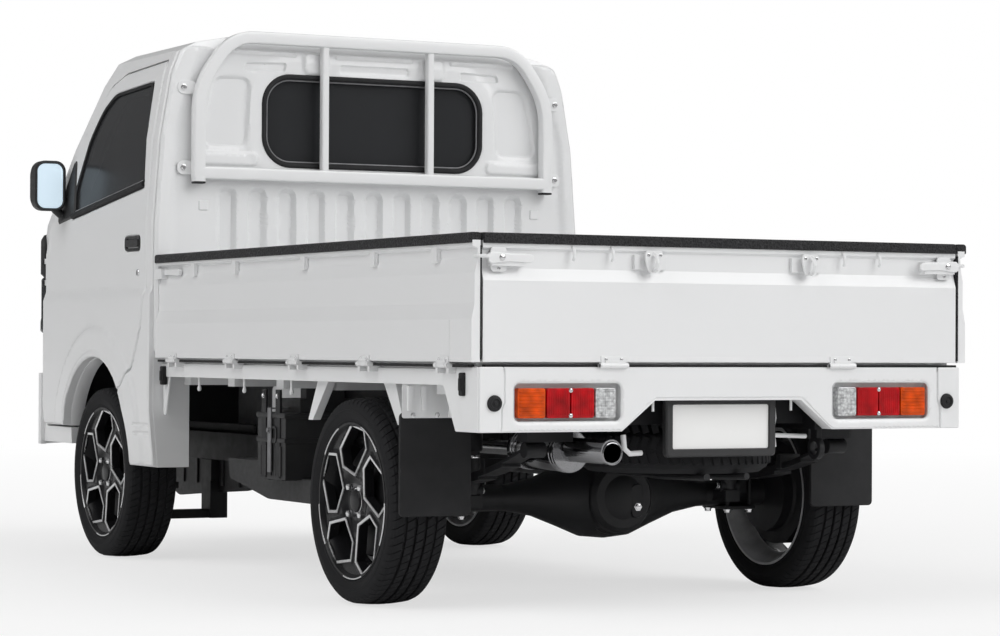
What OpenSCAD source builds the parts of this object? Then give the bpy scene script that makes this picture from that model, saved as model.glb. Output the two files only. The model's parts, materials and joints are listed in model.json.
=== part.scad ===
// Small flat-nosed pickup truck with a drop-side load deck.
// Units are millimetres. +X points to the front of the truck, +Y to its left and +Z up.
// The origin is on the ground, midway along and across the truck.

/* [Overall] */
// Width over the gate hinges
width = 1475; // [1455:1:1500]
// Height of the roof at its crown
roof_z = 1685; // [1665:1:1715]
// Distance between the axles
wheelbase = 1905; // [1880:5:1930]
// Rear axle to the tips of the tailgate fittings
rear_overhang = 735; // [720:1:750]
// Front axle to the face of the bumper
front_overhang = 755; // [735:1:775]
// Distance between the tyre centres of one axle
track = 1285; // [1270:1:1295]

/* [Wheels] */
// Outer diameter of the tyre
tyre_d = 546; // [530:1:560]
// Width of the tyre
tyre_w = 165; // [155:1:170]
// Diameter over the rim flange
rim_d = 414; // [400:1:420]
// Number of windows in the rim
rim_windows = 5; // [4:1:6]
// Radius of the wheel spindle
spindle_r = 28; // [24:1:32]
// Running clearance of spindles and pins
fit = 0.05; // [0.02:0.01:0.1]
// Distance of the steering axis from the middle
kingpin_y = 530; // [522:1:534]
// Radius of the front strut
strut_r = 24; // [20:1:26]

/* [Cab] */
// Cab back wall behind the front axle
cab_back = 500; // [490:1:520]
// Thickness of the cab walls, doors and roof
wall = 45; // [35:1:50]
// Gap round the doors
door_gap = 6; // [5:0.5:8]
// Front edge of the door ahead of the front axle
door_front = 495; // [485:1:500]
// Bottom edge of the door
sill_z = 415; // [405:1:430]
// Radius of the front wheel arch
arch_r = 303; // [295:1:310]
// Height of the centre of the front wheel arch
arch_z = 338; // [330:1:345]
// Centre of the arch behind the front axle
arch_back = 32; // [20:1:40]
// Height of the rear window
rear_window_h = 276; // [250:1:290]
// Width of the rear window
rear_window_w = 756; // [700:1:800]
// Number of grooves in the cab back wall
wall_grooves = 11; // [7:2:13]
// Thickness of the window glass
glass_t = 5; // [4:0.5:6]
// Height of the seat deck
seat_deck_z = 690; // [680:1:700]

/* [Deck] */
// Height of the load floor
floor_z = 650; // [640:1:660]
// Height of the gates above their lower edge
gate_h = 295; // [270:1:310]
// Thickness of the tailgate
gate_t = 31; // [28:1:36]
// Thickness of the side gates
side_gate_t = 24; // [22:1:30]
// Height of the rubber rail along the top of the gates
cap_h = 13; // [10:1:16]
// Radius of the gate hinge barrels
hinge_r = 7; // [6:0.5:8]
// Radius of the gate hinge pins
pin_r = 3.5; // [3:0.1:4]
// Gap between the gates and the parts round them
gate_gap = 7; // [6:0.5:8]
// Depth of the latches and rope hooks on the tailgate
fitting_depth = 16; // [14:1:20]
// Bottom edge of the rear panel
rear_panel_z = 472; // [465:1:480]

/* [Guard frame] */
// Top of the guard frame below the roof
guard_drop = 30; // [15:1:55]
// Height of the guard frame
guard_h = 477; // [460:1:490]
// Side of the square tube
guard_tube = 40; // [34:1:42]
// Outer half width of the guard frame
guard_half = 626; // [600:1:640]
// Half spacing of the two upright bars
guard_bar_y = 184; // [150:1:220]

/* [Chassis] */
// Outer face of the frame rails
rail_y = 360; // [345:1:370]
// Width of the frame rails
rail_w = 60; // [50:1:70]
// Half length of the leaf springs
spring_half = 520; // [480:5:540]
// Middle of the leaf springs from the centre line
spring_y = 455; // [448:1:460]
// Radius of the towing eyes
eye_r = 17; // [15:0.5:20]

/* [Hidden] */
$fn = 48;
length = rear_overhang + wheelbase + front_overhang;
rear_axle_x = -length / 2 + rear_overhang;
front_axle_x = rear_axle_x + wheelbase;
half_w = width / 2;
tyre_r = tyre_d / 2;
wheel_y = track / 2;
hub_z = tyre_r;
cab_back_x = front_axle_x - cab_back;
nose_x = length / 2 - 20;
gate_face_x = -length / 2 + fitting_depth;
gate_face_y = half_w - 3.5;
gate_inner_y = gate_face_y - side_gate_t;
hinge_y = gate_face_y + 4;
hinge_x = gate_face_x - 4;
hinge_z = floor_z - 15;
gate_z = hinge_z + hinge_r + 1;
gate_top = gate_z + gate_h;
gate_front_x = cab_back_x - 8;
gate_len = gate_front_x - gate_face_x;
tail_half = gate_inner_y - gate_gap;
floor_t = 30;
sill_y = half_w - 25;
sill_low = floor_z - 65;
cross_low = floor_z - 90;
rail_top = cross_low;
rail_low = rail_top - 90;
front_rail_top = 400;
front_rail_low = 310;
panel_in_x = gate_face_x + 47;
engine_low = front_rail_low;
engine_back_x = cab_back_x + wall + 7;
shaft_z = 345;
shaft_y = -40;
spring_base = hub_z + 39;
spring_r = 1500;
leaf_t = 8;
eye_z = spring_base + 2 * leaf_t + spring_r - sqrt(spring_r * spring_r - spring_half * spring_half);
door_pin_r = 2.5;
door_hinge_r = 5;
door_hinge_len = 50;
door_hinges = [560, 900];
guard_top = roof_z - guard_drop;
guard_low = guard_top - guard_h;
tank_x = spring_half + 70;

// Node to show, or all

// Place ahead of the rear axle
function rx(d) = rear_axle_x + d;

// Place ahead of the front axle, drawn for an overhang of 755 and a cab back at 500
function fx(d) = front_axle_x + d * (d > 0 ? front_overhang / 755 : cab_back / 500);

// Height on the cab above its sill, drawn for a roof at 1685
function cab_rise() = (roof_z - sill_z) / (1685 - sill_z);
function hz(z) = z <= sill_z ? z : sill_z + (z - sill_z) * cab_rise();

// Outline drawn ahead of the front axle and in cab heights
function on_cab(shape) = [for (p = shape) [fx(p[0]), hz(p[1])]];

// Points along an arc
function arc(cx, cy, r, a0, a1, n) =
    [for (i = [0 : n]) [cx + r * cos(a0 + (a1 - a0) * i / n), cy + r * sin(a0 + (a1 - a0) * i / n)]];

// Outline of a rectangle with round corners, centred
function round_rect(w, h, r) = concat(
    arc(w / 2 - r, h / 2 - r, r, 0, 90, 6), arc(r - w / 2, h / 2 - r, r, 90, 180, 6),
    arc(r - w / 2, r - h / 2, r, 180, 270, 6), arc(w / 2 - r, r - h / 2, r, 270, 360, 6));

// A block between two corners
module block(lo, hi) {
    translate(lo) cube(hi - lo);
}

// An outline in y and z drawn out along x
module along_x(x0, x1) {
    translate([x0, 0, 0]) rotate([90, 0, 90]) linear_extrude(x1 - x0) children();
}

// An outline in x and z drawn out along y
module along_y(y0, y1) {
    translate([0, y1, 0]) rotate([90, 0, 0]) linear_extrude(y1 - y0) children();
}

// A round bar along y
module bar_y(x, y0, y1, z, r) {
    translate([x, y0, z]) rotate([-90, 0, 0]) cylinder(r = r, h = y1 - y0);
}

// A round bar along x
module bar_x(x0, x1, y, z, r) {
    translate([x0, y, z]) rotate([0, 90, 0]) cylinder(r = r, h = x1 - x0);
}

// The same shape on the left and on the right
module both_sides() {
    children();
    mirror([0, 1, 0]) children();
}

// The shape on one side only, 1 for left and -1 for right
module on_side(side) {
    if (side > 0) children();
    if (side < 0) mirror([0, 1, 0]) children();
}

// Half width of the cab at each height, as inset from the side and height
cab_section = [[16, 305], [0, 480], [0, 1050], [20, 1320], [55, 1520], [82, 1590], [138, 1618]];
roof_crown = roof_z - hz(1618);
roof_split_z = hz(1590);

// Drop of the roof line, as distance from the front axle and drop below the crown
roof_line = [[-486, 50], [-455, 35], [-340, 14], [-170, 0], [-55, 5], [35, 24], [105, 62], [165, 111]];

// Nose corner in plan, as half width inset and distance behind the nose
nose_corner = [[138, 55], [82, 85], [38, 135], [12, 190], [0, 245]];

// Front view of the cab, set in by t
function cab_front_outline(t) = let (
    right = [for (p = cab_section) [half_w - p[0] - t,
        p[1] == 305 ? 305 - 2 * t : hz(p[1]) - (p[1] > 1400 ? t / 2 : 0)]],
    crown = [for (i = [3 : -1 : -3]) [i * (half_w - 138 - t) / 4, roof_z - t - roof_crown * i * i / 16]],
    left = [for (i = [len(right) - 1 : -1 : 0]) [-right[i][0], right[i][1]]])
    concat(right, crown, left);

// Side view of the cab, set in by t
function cab_side_outline(t) = concat(
    [[cab_back_x + t, 305 - 2 * t], [cab_back_x + t, roof_z - 85 * cab_rise() - t]],
    [for (p = roof_line) [max(cab_back_x + t, fx(p[0])), roof_z - t - p[1] * cab_rise()]],
    [[nose_x - t, roof_z - 111 * cab_rise() - t], [nose_x - t, 305 - 2 * t]]);

// Plan of the cab, set in by t
function cab_plan_outline(t) = let (
    front = [for (i = [3 : -1 : -3]) [nose_x - t - 55 * i * i / 16, i * (half_w - 138) / 4]],
    left = [for (i = [len(nose_corner) - 1 : -1 : 0]) [nose_x - t - nose_corner[i][1], half_w - nose_corner[i][0] - t]],
    right = [for (p = nose_corner) [nose_x - t - p[1], p[0] + t - half_w]])
    concat([[cab_back_x - 50, half_w - t]], left, front, right, [[cab_back_x - 50, t - half_w]]);

// Lean of the windscreen from the upright, and the radius of its curve
function screen_tilt() = atan(tan(44) / cab_rise());
function screen_r() = 2645 / cab_rise();

// Outer form of the cab, set in by t
module cab_form(t) {
    intersection() {
        along_y(-half_w - 10, half_w + 10) polygon(cab_side_outline(t));
        along_x(cab_back_x - 20, length / 2 + 20) polygon(cab_front_outline(t));
        linear_extrude(roof_z + 20) polygon(cab_plan_outline(t));
        translate([fx(390), 0, hz(1346)]) rotate([0, -screen_tilt(), 0]) translate([-screen_r(), 0, 0])
            cylinder(r = screen_r() - t, h = 3600, center = true, $fn = 96);
    }
}

// Shell of the cab between two depths
module cab_shell(t0, t1) {
    difference() {
        cab_form(t0);
        cab_form(t1);
    }
}

// Door outline ahead of the front axle and in height, grown by g
function door_outline(g) = on_cab([
    [door_front + g, sill_z - g], [door_front + g, 985 + g / 2], [430 + g, 1100 + g / 2],
    [310 + 0.7 * g, 1225 + 0.7 * g], [178 + 0.7 * g, 1375 + 0.7 * g], [90 + 0.7 * g, 1462 + 0.7 * g],
    [10 + g / 2, 1512 + g], [-90, 1545 + g], [wall - 476, 1560 + g],
    [wall + door_gap - g - 500, 1535 + g], [wall + door_gap - g - 500, 850], [-418 - g, 728],
    [-353 - g, 620], [-245 - g, 530 - g], [-205, sill_z - g]]);

// Door hinges on the front outer edge of the door: pins and lugs on the cab, barrels on the door
module door_pins() {
    for (z = door_hinges) translate([fx(door_front), half_w, hz(z)]) {
        translate([0, 0, -20]) cylinder(r = door_pin_r, h = door_hinge_len + 40);
        for (d = [-20, door_hinge_len + 2]) translate([0, 0, d]) {
            cylinder(r = door_hinge_r, h = 18);
            translate([0, -door_hinge_r, 0]) cube([door_gap + 10, 2 * door_hinge_r, 18]);
        }
    }
}

module door_barrels() {
    for (z = door_hinges) translate([fx(door_front), half_w, hz(z)]) cylinder(r = door_hinge_r, h = door_hinge_len);
}

module door_lug_pockets() {
    for (z = door_hinges) translate([fx(door_front), half_w, hz(z)]) {
        for (d = [-22, door_hinge_len])
            translate([0, 0, d]) cylinder(r = door_hinge_r + 1.5, h = 22);
        translate([0, 0, -30]) cylinder(r = door_pin_r + fit, h = door_hinge_len + 60);
    }
}

// Door window outline
door_window = [[-405, 1168], [245, 1092], [225, 1190], [115, 1365], [45, 1440], [-45, 1485], [-380, 1500]];

module door_region(g) {
    along_y(500, half_w + 20) polygon(door_outline(g));
}

module door_window_region() {
    along_y(500, half_w + 20) polygon(on_cab(door_window));
}

module wheel_arch() {
    bar_y(fx(-arch_back), 380, half_w + 20, arch_z, arch_r);
}

// Windscreen opening
module windscreen_region() {
    along_x(fx(100), length / 2)
        polygon([for (p = [[640, 1108], [600, 1480], [575, 1545], [-575, 1545], [-600, 1480], [-640, 1108]])
            [p[0] * half_w / 737.5, hz(p[1])]]);
}

module rear_window_region(grow) {
    translate([0, 0, hz(1384)]) along_x(cab_back_x - 5, cab_back_x + wall + 5)
        polygon(round_rect(rear_window_w + 2 * grow, rear_window_h + 2 * grow, 88 + grow));
}

module headlamp_region() {
    both_sides() along_y(420, half_w + 20)
        polygon([[fx(door_front + 25), hz(905)], [fx(door_front + 25), hz(770)], [length / 2, hz(690)],
            [length / 2, hz(860)]]);
}

module grille_region() {
    along_x(nose_x - 100, length / 2 + 5) translate([0, hz(780)]) polygon(round_rect(700, 110, 30));
}

// Ladder frame, with the spring hangers
module chassis_frame() {
    color("#26282a") {
        both_sides() {
            block([gate_face_x + 60, rail_y - rail_w, rail_low], [rx(1300), rail_y, rail_top]);
            block([rx(1210), rail_y - rail_w, front_rail_low], [rx(1300), rail_y, rail_top]);
            block([rx(1210), rail_y - rail_w, front_rail_low], [fx(640), rail_y, front_rail_top]);
            for (x = [-spring_half, spring_half])
                block([rx(x - 26), rail_y - 5, eye_z + 20.3], [rx(x + 26), spring_y + 32, rail_low + 40]);
            block([rx(-110), rail_y - 5, rail_top - 38], [rx(-40), spring_y - 36, rail_top - 12]);
        }
        for (x = [-600, 420, 1240])
            block([rx(x), rail_w - rail_y, rail_low + 15], [rx(x + 60), rail_y - rail_w, rail_top - 5]);
        block([fx(570), -rail_y, front_rail_low], [fx(630), rail_y, front_rail_top]);
    }
}

// Front cross beam and the lower arms that carry the knuckles
module front_suspension() {
    color("#2b2d30") {
        block([fx(-45), -rail_y, front_rail_low - 70], [fx(45), rail_y, front_rail_low]);
        both_sides() {
            block([fx(-40), rail_y - 60, 118], [fx(40), rail_y, front_rail_low - 60]);
            difference() {
                union() {
                    block([fx(-24), rail_y - 10, 118], [fx(24), kingpin_y, 146]);
                    translate([fx(0), kingpin_y, 118]) cylinder(r = 32, h = 28);
                }
                translate([fx(0), kingpin_y, 110]) cylinder(r = 12 + fit, h = 50);
            }
        }
    }
}

// Engine and gearbox as one block under the seats
module engine_block() {
    color("#5a5e62")
        block([engine_back_x, -230, engine_low], [fx(40), 230, seat_deck_z - 60]);
}

// Shaft from the gearbox to the rear axle
module propeller_shaft() {
    color("#3a3d40") {
        bar_x(rx(225), engine_back_x, shaft_y, shaft_z, 28);
        bar_x(rx(225), rx(245), shaft_y, shaft_z, 46);
        bar_x(engine_back_x - 25, engine_back_x, shaft_y, shaft_z, 46);
    }
}

// Live rear axle with its differential, brake plates and spindles
module rear_axle() {
    color("#303336") {
        bar_y(rx(0), 60 - wheel_y, wheel_y - 60, hub_z, 36);
        translate([rx(0), shaft_y, hub_z]) rotate([0, 90, 0]) rotate_extrude($fn = 64)
            polygon([[0, -122], [84, -122], [96, -108], [100, -62], [112, -40], [112, 40], [84, 92], [0, 110]]);
        bar_x(rx(20), rx(225), shaft_y, shaft_z, 44);
        both_sides() {
            bar_y(rx(0), wheel_y - 66, wheel_y - 54, hub_z, 106);
            bar_y(rx(0), wheel_y - 60, wheel_y + 40, hub_z, spindle_r);
            block([rx(-45), spring_y - 30, hub_z], [rx(45), spring_y + 30, spring_base]);
            block([rx(-100), spring_y - 75, hub_z - 20], [rx(20), spring_y - 29, hub_z + 12]);
        }
    }
}

// Half lengths of the leaves; the longest ends in eyes
leaf_half = [spring_half, 0.77 * spring_half, 0.52 * spring_half];
leaf_zc = spring_base + 2 * leaf_t + spring_r;

function leaf_angle(i) = asin(leaf_half[i] / spring_r);

// Lower edge of one leaf between two angles from the middle
function leaf_edge(i, a0, a1, n) = arc(rx(0), leaf_zc, spring_r + i * leaf_t, 270 + a0, 270 + a1, n);

module leaf_springs() {
    color("#34373a") both_sides() along_y(spring_y - 28, spring_y + 28) {
        polygon(concat(
            leaf_edge(-1, leaf_angle(0), -leaf_angle(0), 24),
            [for (i = [0, 1]) each leaf_edge(i, -leaf_angle(i), -leaf_angle(i + 1), 6)],
            leaf_edge(2, -leaf_angle(2), leaf_angle(2), 12),
            [for (i = [1, 0]) each leaf_edge(i, leaf_angle(i + 1), leaf_angle(i), 6)]));
        for (x = [-spring_half, spring_half]) translate([rx(x), eye_z]) circle(r = 20);
    }
}

module dampers() {
    color("#2c2e31") both_sides() {
        translate([rx(-75), spring_y - 52, hub_z + 12.3]) cylinder(r = 22, h = 130);
        translate([rx(-75), spring_y - 52, hub_z + 100]) cylinder(r = 15, h = rail_top - 38.6 - hub_z - 100);
    }
}

// Silencer with a bright tail pipe, and the pipe to the engine
module exhaust() {
    color("#b9bdc0") {
        bar_x(rx(-488), rx(-238), 330, 414, 52);
        difference() {
            bar_x(gate_face_x + 22, rx(-470), 330, 420, 31);
            bar_x(gate_face_x + 20, rx(-500), 330, 420, 27);
        }
        bar_x(rx(-300), rx(1130), 330, 414, 20);
        bar_y(rx(1115), 195, 345, 414, 20);
        bar_x(rx(1100), engine_back_x, 210, 414, 20);
        block([rx(-400), 322, 440], [rx(-380), 338, rail_low]);
    }
}

module fuel_tank() {
    color("#1f2123") {
        block([rx(tank_x), -625, 292], [rx(tank_x + 560), -400, 520]);
        for (x = [14, 374]) block([rx(tank_x + x), -600, 515], [rx(tank_x + x + 42), -420, cross_low]);
    }
}

module battery_box() {
    color("#232527") {
        block([rx(tank_x), 420, 300], [rx(tank_x + 200), 650, 480]);
        block([rx(tank_x + 14), 440, 478], [rx(tank_x + 180), 600, 530]);
        block([rx(tank_x + 14), 460, 525], [rx(tank_x + 56), 580, cross_low]);
    }
}

// Spare wheel lying under the tail of the deck, on its carrier
module spare_wheel() {
    color("#1b1c1d") translate([rx(-400), -28, 0]) {
        translate([0, 0, 358]) rotate_extrude($fn = 72)
            polygon([[170, 20], [195, 4], [225, 0], [245, 14], [252, 40], [252, 76], [245, 100], [225, 114],
                [195, 110], [170, 94]]);
        translate([0, 0, 400]) cylinder(r = 175, h = 14);
        translate([-25, -25, 410]) cube([50, 50, cross_low - 410]);
    }
}

// Towing eyes under the front and the rear end
module tow_eyes() {
    color("#3b3e41") {
        difference() {
            union() {
                bar_y(fx(600), -338, -322, front_rail_low - 45, eye_r + 13);
                block([fx(585), -338, front_rail_low - 45], [fx(615), -322, front_rail_low]);
            }
            bar_y(fx(600), -340, -320, front_rail_low - 45, eye_r);
        }
        difference() {
            union() {
                bar_y(gate_face_x + 100, -338, -322, rail_low - 50, eye_r + 13);
                block([gate_face_x + 85, -338, rail_low - 50], [gate_face_x + 115, -322, rail_low]);
            }
            bar_y(gate_face_x + 100, -340, -320, rail_low - 50, eye_r);
        }
    }
}

module mud_flaps() {
    color("#141516") both_sides()
        block([rx(-308), 525, 250], [rx(-302), sill_y + 10, sill_low]);
}

// Load floor with its cross members, side sills and hinge pins
module deck_floor() {
    color("#e9eaeb") {
        block([gate_face_x + gate_t + gate_gap, -tail_half, floor_z - floor_t], [gate_front_x, tail_half, floor_z]);
        for (x = [-590, -420, -170, 240, tank_x + 10, tank_x + 370, 1310])
            block([rx(x), -sill_y + 60, cross_low], [rx(x + 50), sill_y - 60, floor_z - 20]);
        both_sides() {
            block([gate_face_x + 60, sill_y - 70, sill_low], [gate_front_x, sill_y, floor_z - floor_t]);
            block([gate_face_x + gate_t + gate_gap + 20, tail_half - 10, floor_z - floor_t - 5],
                [gate_front_x, sill_y, floor_z - 25]);
            for (x = side_hinges) {
                side_lug(x - 36);
                side_lug(x + 24);
                bar_x(gate_face_x + x - 36, gate_face_x + x + 36, hinge_y, hinge_z, pin_r);
            }
        }
    }
}

// Side gate hinges, as distance from the rear face
side_hinges = [for (i = [0 : 4]) 150 + i * (gate_len - 300) / 4];

module side_lug(x) {
    bar_x(gate_face_x + x, gate_face_x + x + 12, hinge_y, hinge_z, hinge_r);
    block([gate_face_x + x, sill_y - 5, floor_z - floor_t - 5], [gate_face_x + x + 12, hinge_y, hinge_z + 3]);
}

// Tailgate hinges across the truck
tail_hinges = [-340, 340];

// Lower rear panel with the lamp pockets, the plate cut-out and the corner wings
module rear_panel() {
    color("#e9eaeb") {
        difference() {
            block([gate_face_x + 2, -sill_y, rear_panel_z], [panel_in_x, sill_y, floor_z - floor_t]);
            both_sides() block([gate_face_x, 313, 497], [gate_face_x + 27, 617, 593]);
            along_x(gate_face_x, panel_in_x + 5) polygon([[-313, rear_panel_z - 5], [-313, rear_panel_z],
                [-217, 548], [217, 548], [313, rear_panel_z], [313, rear_panel_z - 5]]);
        }
        both_sides() along_y(sill_y - 22, sill_y)
            polygon([[panel_in_x - 5, rear_panel_z], [panel_in_x + 70, rear_panel_z], [panel_in_x + 140, sill_low],
                [panel_in_x - 5, sill_low]]);
        for (y = tail_hinges) {
            tail_lug(y - 40);
            tail_lug(y + 26);
            bar_y(hinge_x, y - 40, y + 40, hinge_z, pin_r);
        }
    }
}

module tail_lug(y) {
    bar_y(hinge_x, y, y + 14, hinge_z, hinge_r);
    block([hinge_x, y, hinge_z - 6], [gate_face_x + 20, y + 14, hinge_z + 3]);
    block([gate_face_x + 2, y, floor_z - floor_t - 5], [gate_face_x + 20, y + 14, hinge_z]);
}

// Tail lamp lenses from the outer to the inner end
lamp_amber = [528, 607];
lamp_red = [391, 526];
lamp_clear = [330, 389];

module lamp_pair(ends) {
    both_sides() block([gate_face_x + 5, ends[0], 506], [gate_face_x + 27, ends[1], 580]);
}

module tail_lamps_amber() {
    color("#e08a1e") lamp_pair(lamp_amber);
}

module tail_lamps_red() {
    color("#a01818") lamp_pair(lamp_red);
}

module tail_lamps_clear() {
    color("#d8dadc") lamp_pair(lamp_clear);
}

module plate_holder() {
    color("#1a1b1c") block([panel_in_x, -163, 412], [panel_in_x + 6, 163, 560]);
}

// Blank plate
module number_plate() {
    color("#f2f2ee") block([panel_in_x - 3, -147, 421], [panel_in_x, 147, 540]);
}

// Rubber stops that the open gates hang against
module gate_stops() {
    color("#151617") {
        both_sides() {
            bar_x(gate_face_x - 8, gate_face_x + 2, 672, 543, 20);
            for (x = [64, gate_len - 40])
                block([gate_face_x + x, sill_y, sill_low + 2], [gate_face_x + x + 24, sill_y + 12, sill_low + 32]);
        }
    }
}

// Guard frame outline, inset by t
function guard_outline(t) = concat(
    [[guard_half - t, guard_low], [guard_half - t, guard_top - 195]],
    arc(guard_half - t - 60, guard_top - 185, 60, 10, 30, 3),
    arc(guard_half - 156, guard_top - 75, 75 - t, 25, 90, 6));

module guard_half_shape(t, low) {
    p = guard_outline(t);
    polygon(concat([for (q = p) [q[0], max(q[1], low)]],
        [for (i = [len(p) - 1 : -1 : 0]) [-p[i][0], max(p[i][1], low)]]));
}

// Tube guard for the rear window, bolted to the cab with four tabs
module guard_frame() {
    color("#f0f1f1") {
        along_x(cab_back_x - 16 - guard_tube, cab_back_x - 16) {
            difference() {
                guard_half_shape(0, guard_low);
                guard_half_shape(guard_tube, guard_low + 50);
                translate([guard_tube - guard_half, guard_low - 8]) square([2 * (guard_half - guard_tube), 23]);
            }
            for (y = [-guard_bar_y, guard_bar_y])
                translate([y - 12, guard_low + 32]) square([24, guard_h - guard_tube - 22]);
        }
        both_sides() for (z = [guard_low + 27, guard_top - 203])
            block([cab_back_x - 30, guard_half - 20, z], [cab_back_x, guard_half + 44, z + 44]);
    }
}

// Back wall of the cab with the grooves, the window and the lower corners
module cab_rear_wall() {
    color("#f2f3f3") difference() {
        intersection() {
            cab_shell(0, wall);
            union() {
                block([cab_back_x - 10, -half_w - 5, rail_top + 10], [cab_back_x + wall, half_w + 5, roof_split_z]);
                both_sides()
                    block([cab_back_x - 10, half_w - 120, 306], [fx(-200), half_w + 5, hz(900)]);
            }
        }
        both_sides() {
            door_region(door_gap);
            wheel_arch();
        }
        rear_window_region(0);
        for (i = [0 : wall_grooves - 1])
            translate([0, (i - (wall_grooves - 1) / 2) * 1000 / (wall_grooves - 1), 0])
                along_x(cab_back_x - 5, cab_back_x + 9)
                    polygon(concat([[26, hz(672)], [26, hz(1142)]], arc(0, hz(1142), 26, 0, 180, 6), [[-26, hz(672)]]));
    }
}

module cab_roof() {
    color("#f2f3f3") intersection() {
        cab_shell(0, wall);
        block([cab_back_x - 10, -half_w, roof_split_z], [length / 2, half_w, roof_z + 10]);
    }
}

// Nose, cowl, pillars and window header in one shell
module cab_front() {
    color("#f2f3f3") both_sides() door_pins();
    color("#f2f3f3") difference() {
        intersection() {
            cab_shell(0, wall);
            block([cab_back_x + wall, -half_w - 5, 356], [length / 2, half_w + 5, roof_split_z]);
        }
        both_sides() {
            door_region(door_gap);
            wheel_arch();
            block([cab_back_x, half_w - 120, 300], [fx(-200), half_w + 5, hz(900)]);
        }
        windscreen_region();
        headlamp_region();
        grille_region();
    }
}

// Floor, the step over the wheels and the seat deck
module cab_floor() {
    color("#3c3f42") {
        block([cab_back_x + wall, -half_w + 62, seat_deck_z - 30], [fx(350), half_w - 62, seat_deck_z]);
        block([fx(350), -half_w + 62, front_rail_top], [fx(378), half_w - 62, seat_deck_z]);
        intersection() {
            block([fx(370), -half_w + 62, front_rail_top], [length / 2, half_w - 62, front_rail_top + 28]);
            cab_form(wall);
        }
    }
}

module windscreen() {
    color("#39424a") intersection() {
        cab_shell(14, 14 + glass_t);
        windscreen_region();
    }
}

module rear_window() {
    color("#39424a") intersection() {
        rear_window_region(0);
        block([cab_back_x + 6, -half_w, hz(1200)], [cab_back_x + 6 + glass_t, half_w, roof_split_z]);
    }
}

module headlamps() {
    color("#d5dade") intersection() {
        cab_shell(2, 32);
        headlamp_region();
    }
}

module grille() {
    color("#191a1b") intersection() {
        cab_shell(6, 26);
        grille_region();
    }
}

// Bumper wrapped round the nose
module bumper() {
    color("#f0f1f1") intersection() {
        difference() {
            translate([0, 0, 345]) linear_extrude(240) polygon(cab_plan_outline(-20));
            translate([0, 0, 340]) linear_extrude(250) polygon(cab_plan_outline(0));
        }
        block([fx(570), -half_w + 6, 345], [length / 2, half_w - 6, 585]);
    }
}

// Seat side view as x from the front axle and z
seat_shape = [[-450, 690], [-20, 690], [0, 720], [0, 805], [-25, 832], [-290, 822], [-372, 1290], [-392, 1318],
    [-436, 1318], [-450, 1290]];

// Heights on the seat between its deck and the roof
function seat_z(z) = seat_deck_z + (z - 690) * (roof_z - seat_deck_z) / (1685 - 690);

module seats() {
    color("#4a4d51") both_sides() {
        along_y(105, 585) polygon([for (p = seat_shape) [fx(p[0]), seat_z(p[1])]]);
        along_y(235, 455) translate([fx(-412), seat_z(1318) + 62]) polygon(round_rect(76, 150, 30));
    }
}

dash_shape = [[700, 830], [430, 830], [350, 930], [345, 1010], [400, 1062], [700, 1062]];

module dashboard() {
    color("#2a2c2f") difference() {
        intersection() {
            along_y(-half_w + 100, half_w - 100) polygon(on_cab(dash_shape));
            cab_form(wall);
        }
        column(28 + 0.4);
    }
}

// Steering column on the right hand side
module column(r) {
    translate([fx(240), -340, hz(1075)]) rotate([0, -35, 0]) translate([0, 0, -230]) cylinder(r = r, h = 230);
}

module steering_wheel() {
    color("#202224") {
        column(28);
        translate([fx(240), -340, hz(1075)]) rotate([0, -35, 0]) {
            rotate_extrude($fn = 64) translate([178, 0]) circle(r = 13, $fn = 24);
            translate([0, 0, -8]) cylinder(r = 50, h = 22);
            for (a = [0, 120, 240]) rotate([0, 0, a]) translate([0, -12, -6]) cube([176, 24, 12]);
        }
    }
}

// A door as thick as the cab wall, with its window cut
module door(side) {
    color("#f2f3f3") on_side(side) difference() {
        union() {
            intersection() {
                cab_shell(0, wall);
                door_region(0);
            }
            door_barrels();
        }
        door_window_region();
        wheel_arch();
        door_lug_pockets();
    }
}

module door_glass(side) {
    color("#39424a") on_side(side) intersection() {
        cab_shell(14, 14 + glass_t);
        door_window_region();
    }
}

// Handle plate, mirror housing and mirror arm
module door_fittings(side) {
    color("#17181a") on_side(side) {
        difference() {
            union() {
                block([fx(-398), half_w - 20, hz(974)], [fx(-266), half_w + 5, hz(1020)]);
                block([fx(250), half_w - 60, hz(1094)], [fx(330), half_w + 16, hz(1122)]);
            }
            cab_form(0);
        }
        block([fx(290), half_w + 6, hz(1100)], [fx(320), half_w + 60, hz(1150)]);
        translate([0, half_w + 62, hz(1204)]) along_x(fx(285), fx(345)) polygon(round_rect(116, 166, 30));
    }
}

// Latch, hook and hinge fittings stand on the upper band of each gate
module tailgate() {
    color("#f2f3f3") difference() {
        union() {
            along_y(-tail_half, tail_half) polygon([[gate_face_x, gate_z], [gate_face_x, gate_z + 198],
                [gate_face_x + 10, gate_z + 228], [gate_face_x + 10, gate_top - 24], [gate_face_x + 2, gate_top - 18],
                [gate_face_x + 2, gate_top], [gate_face_x + gate_t, gate_top], [gate_face_x + gate_t, gate_z]]);
            for (y = [-233, 233])
                block([gate_face_x, y - 46, gate_top - 64], [gate_face_x + 12, y + 46, gate_top - 28]);
            for (y = [-640, 640])
                block([-length / 2, y - 48, gate_top - 62], [gate_face_x + 12, y + 48, gate_top - 30]);
            for (y = tail_hinges) {
                bar_y(hinge_x, y - 25, y + 25, hinge_z, hinge_r);
                block([hinge_x - 4, y - 25, hinge_z], [gate_face_x + 12, y + 25, gate_z + 5]);
            }
        }
        for (y = tail_hinges) bar_y(hinge_x, y - 45, y + 45, hinge_z, pin_r + fit);
    }
}

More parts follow.
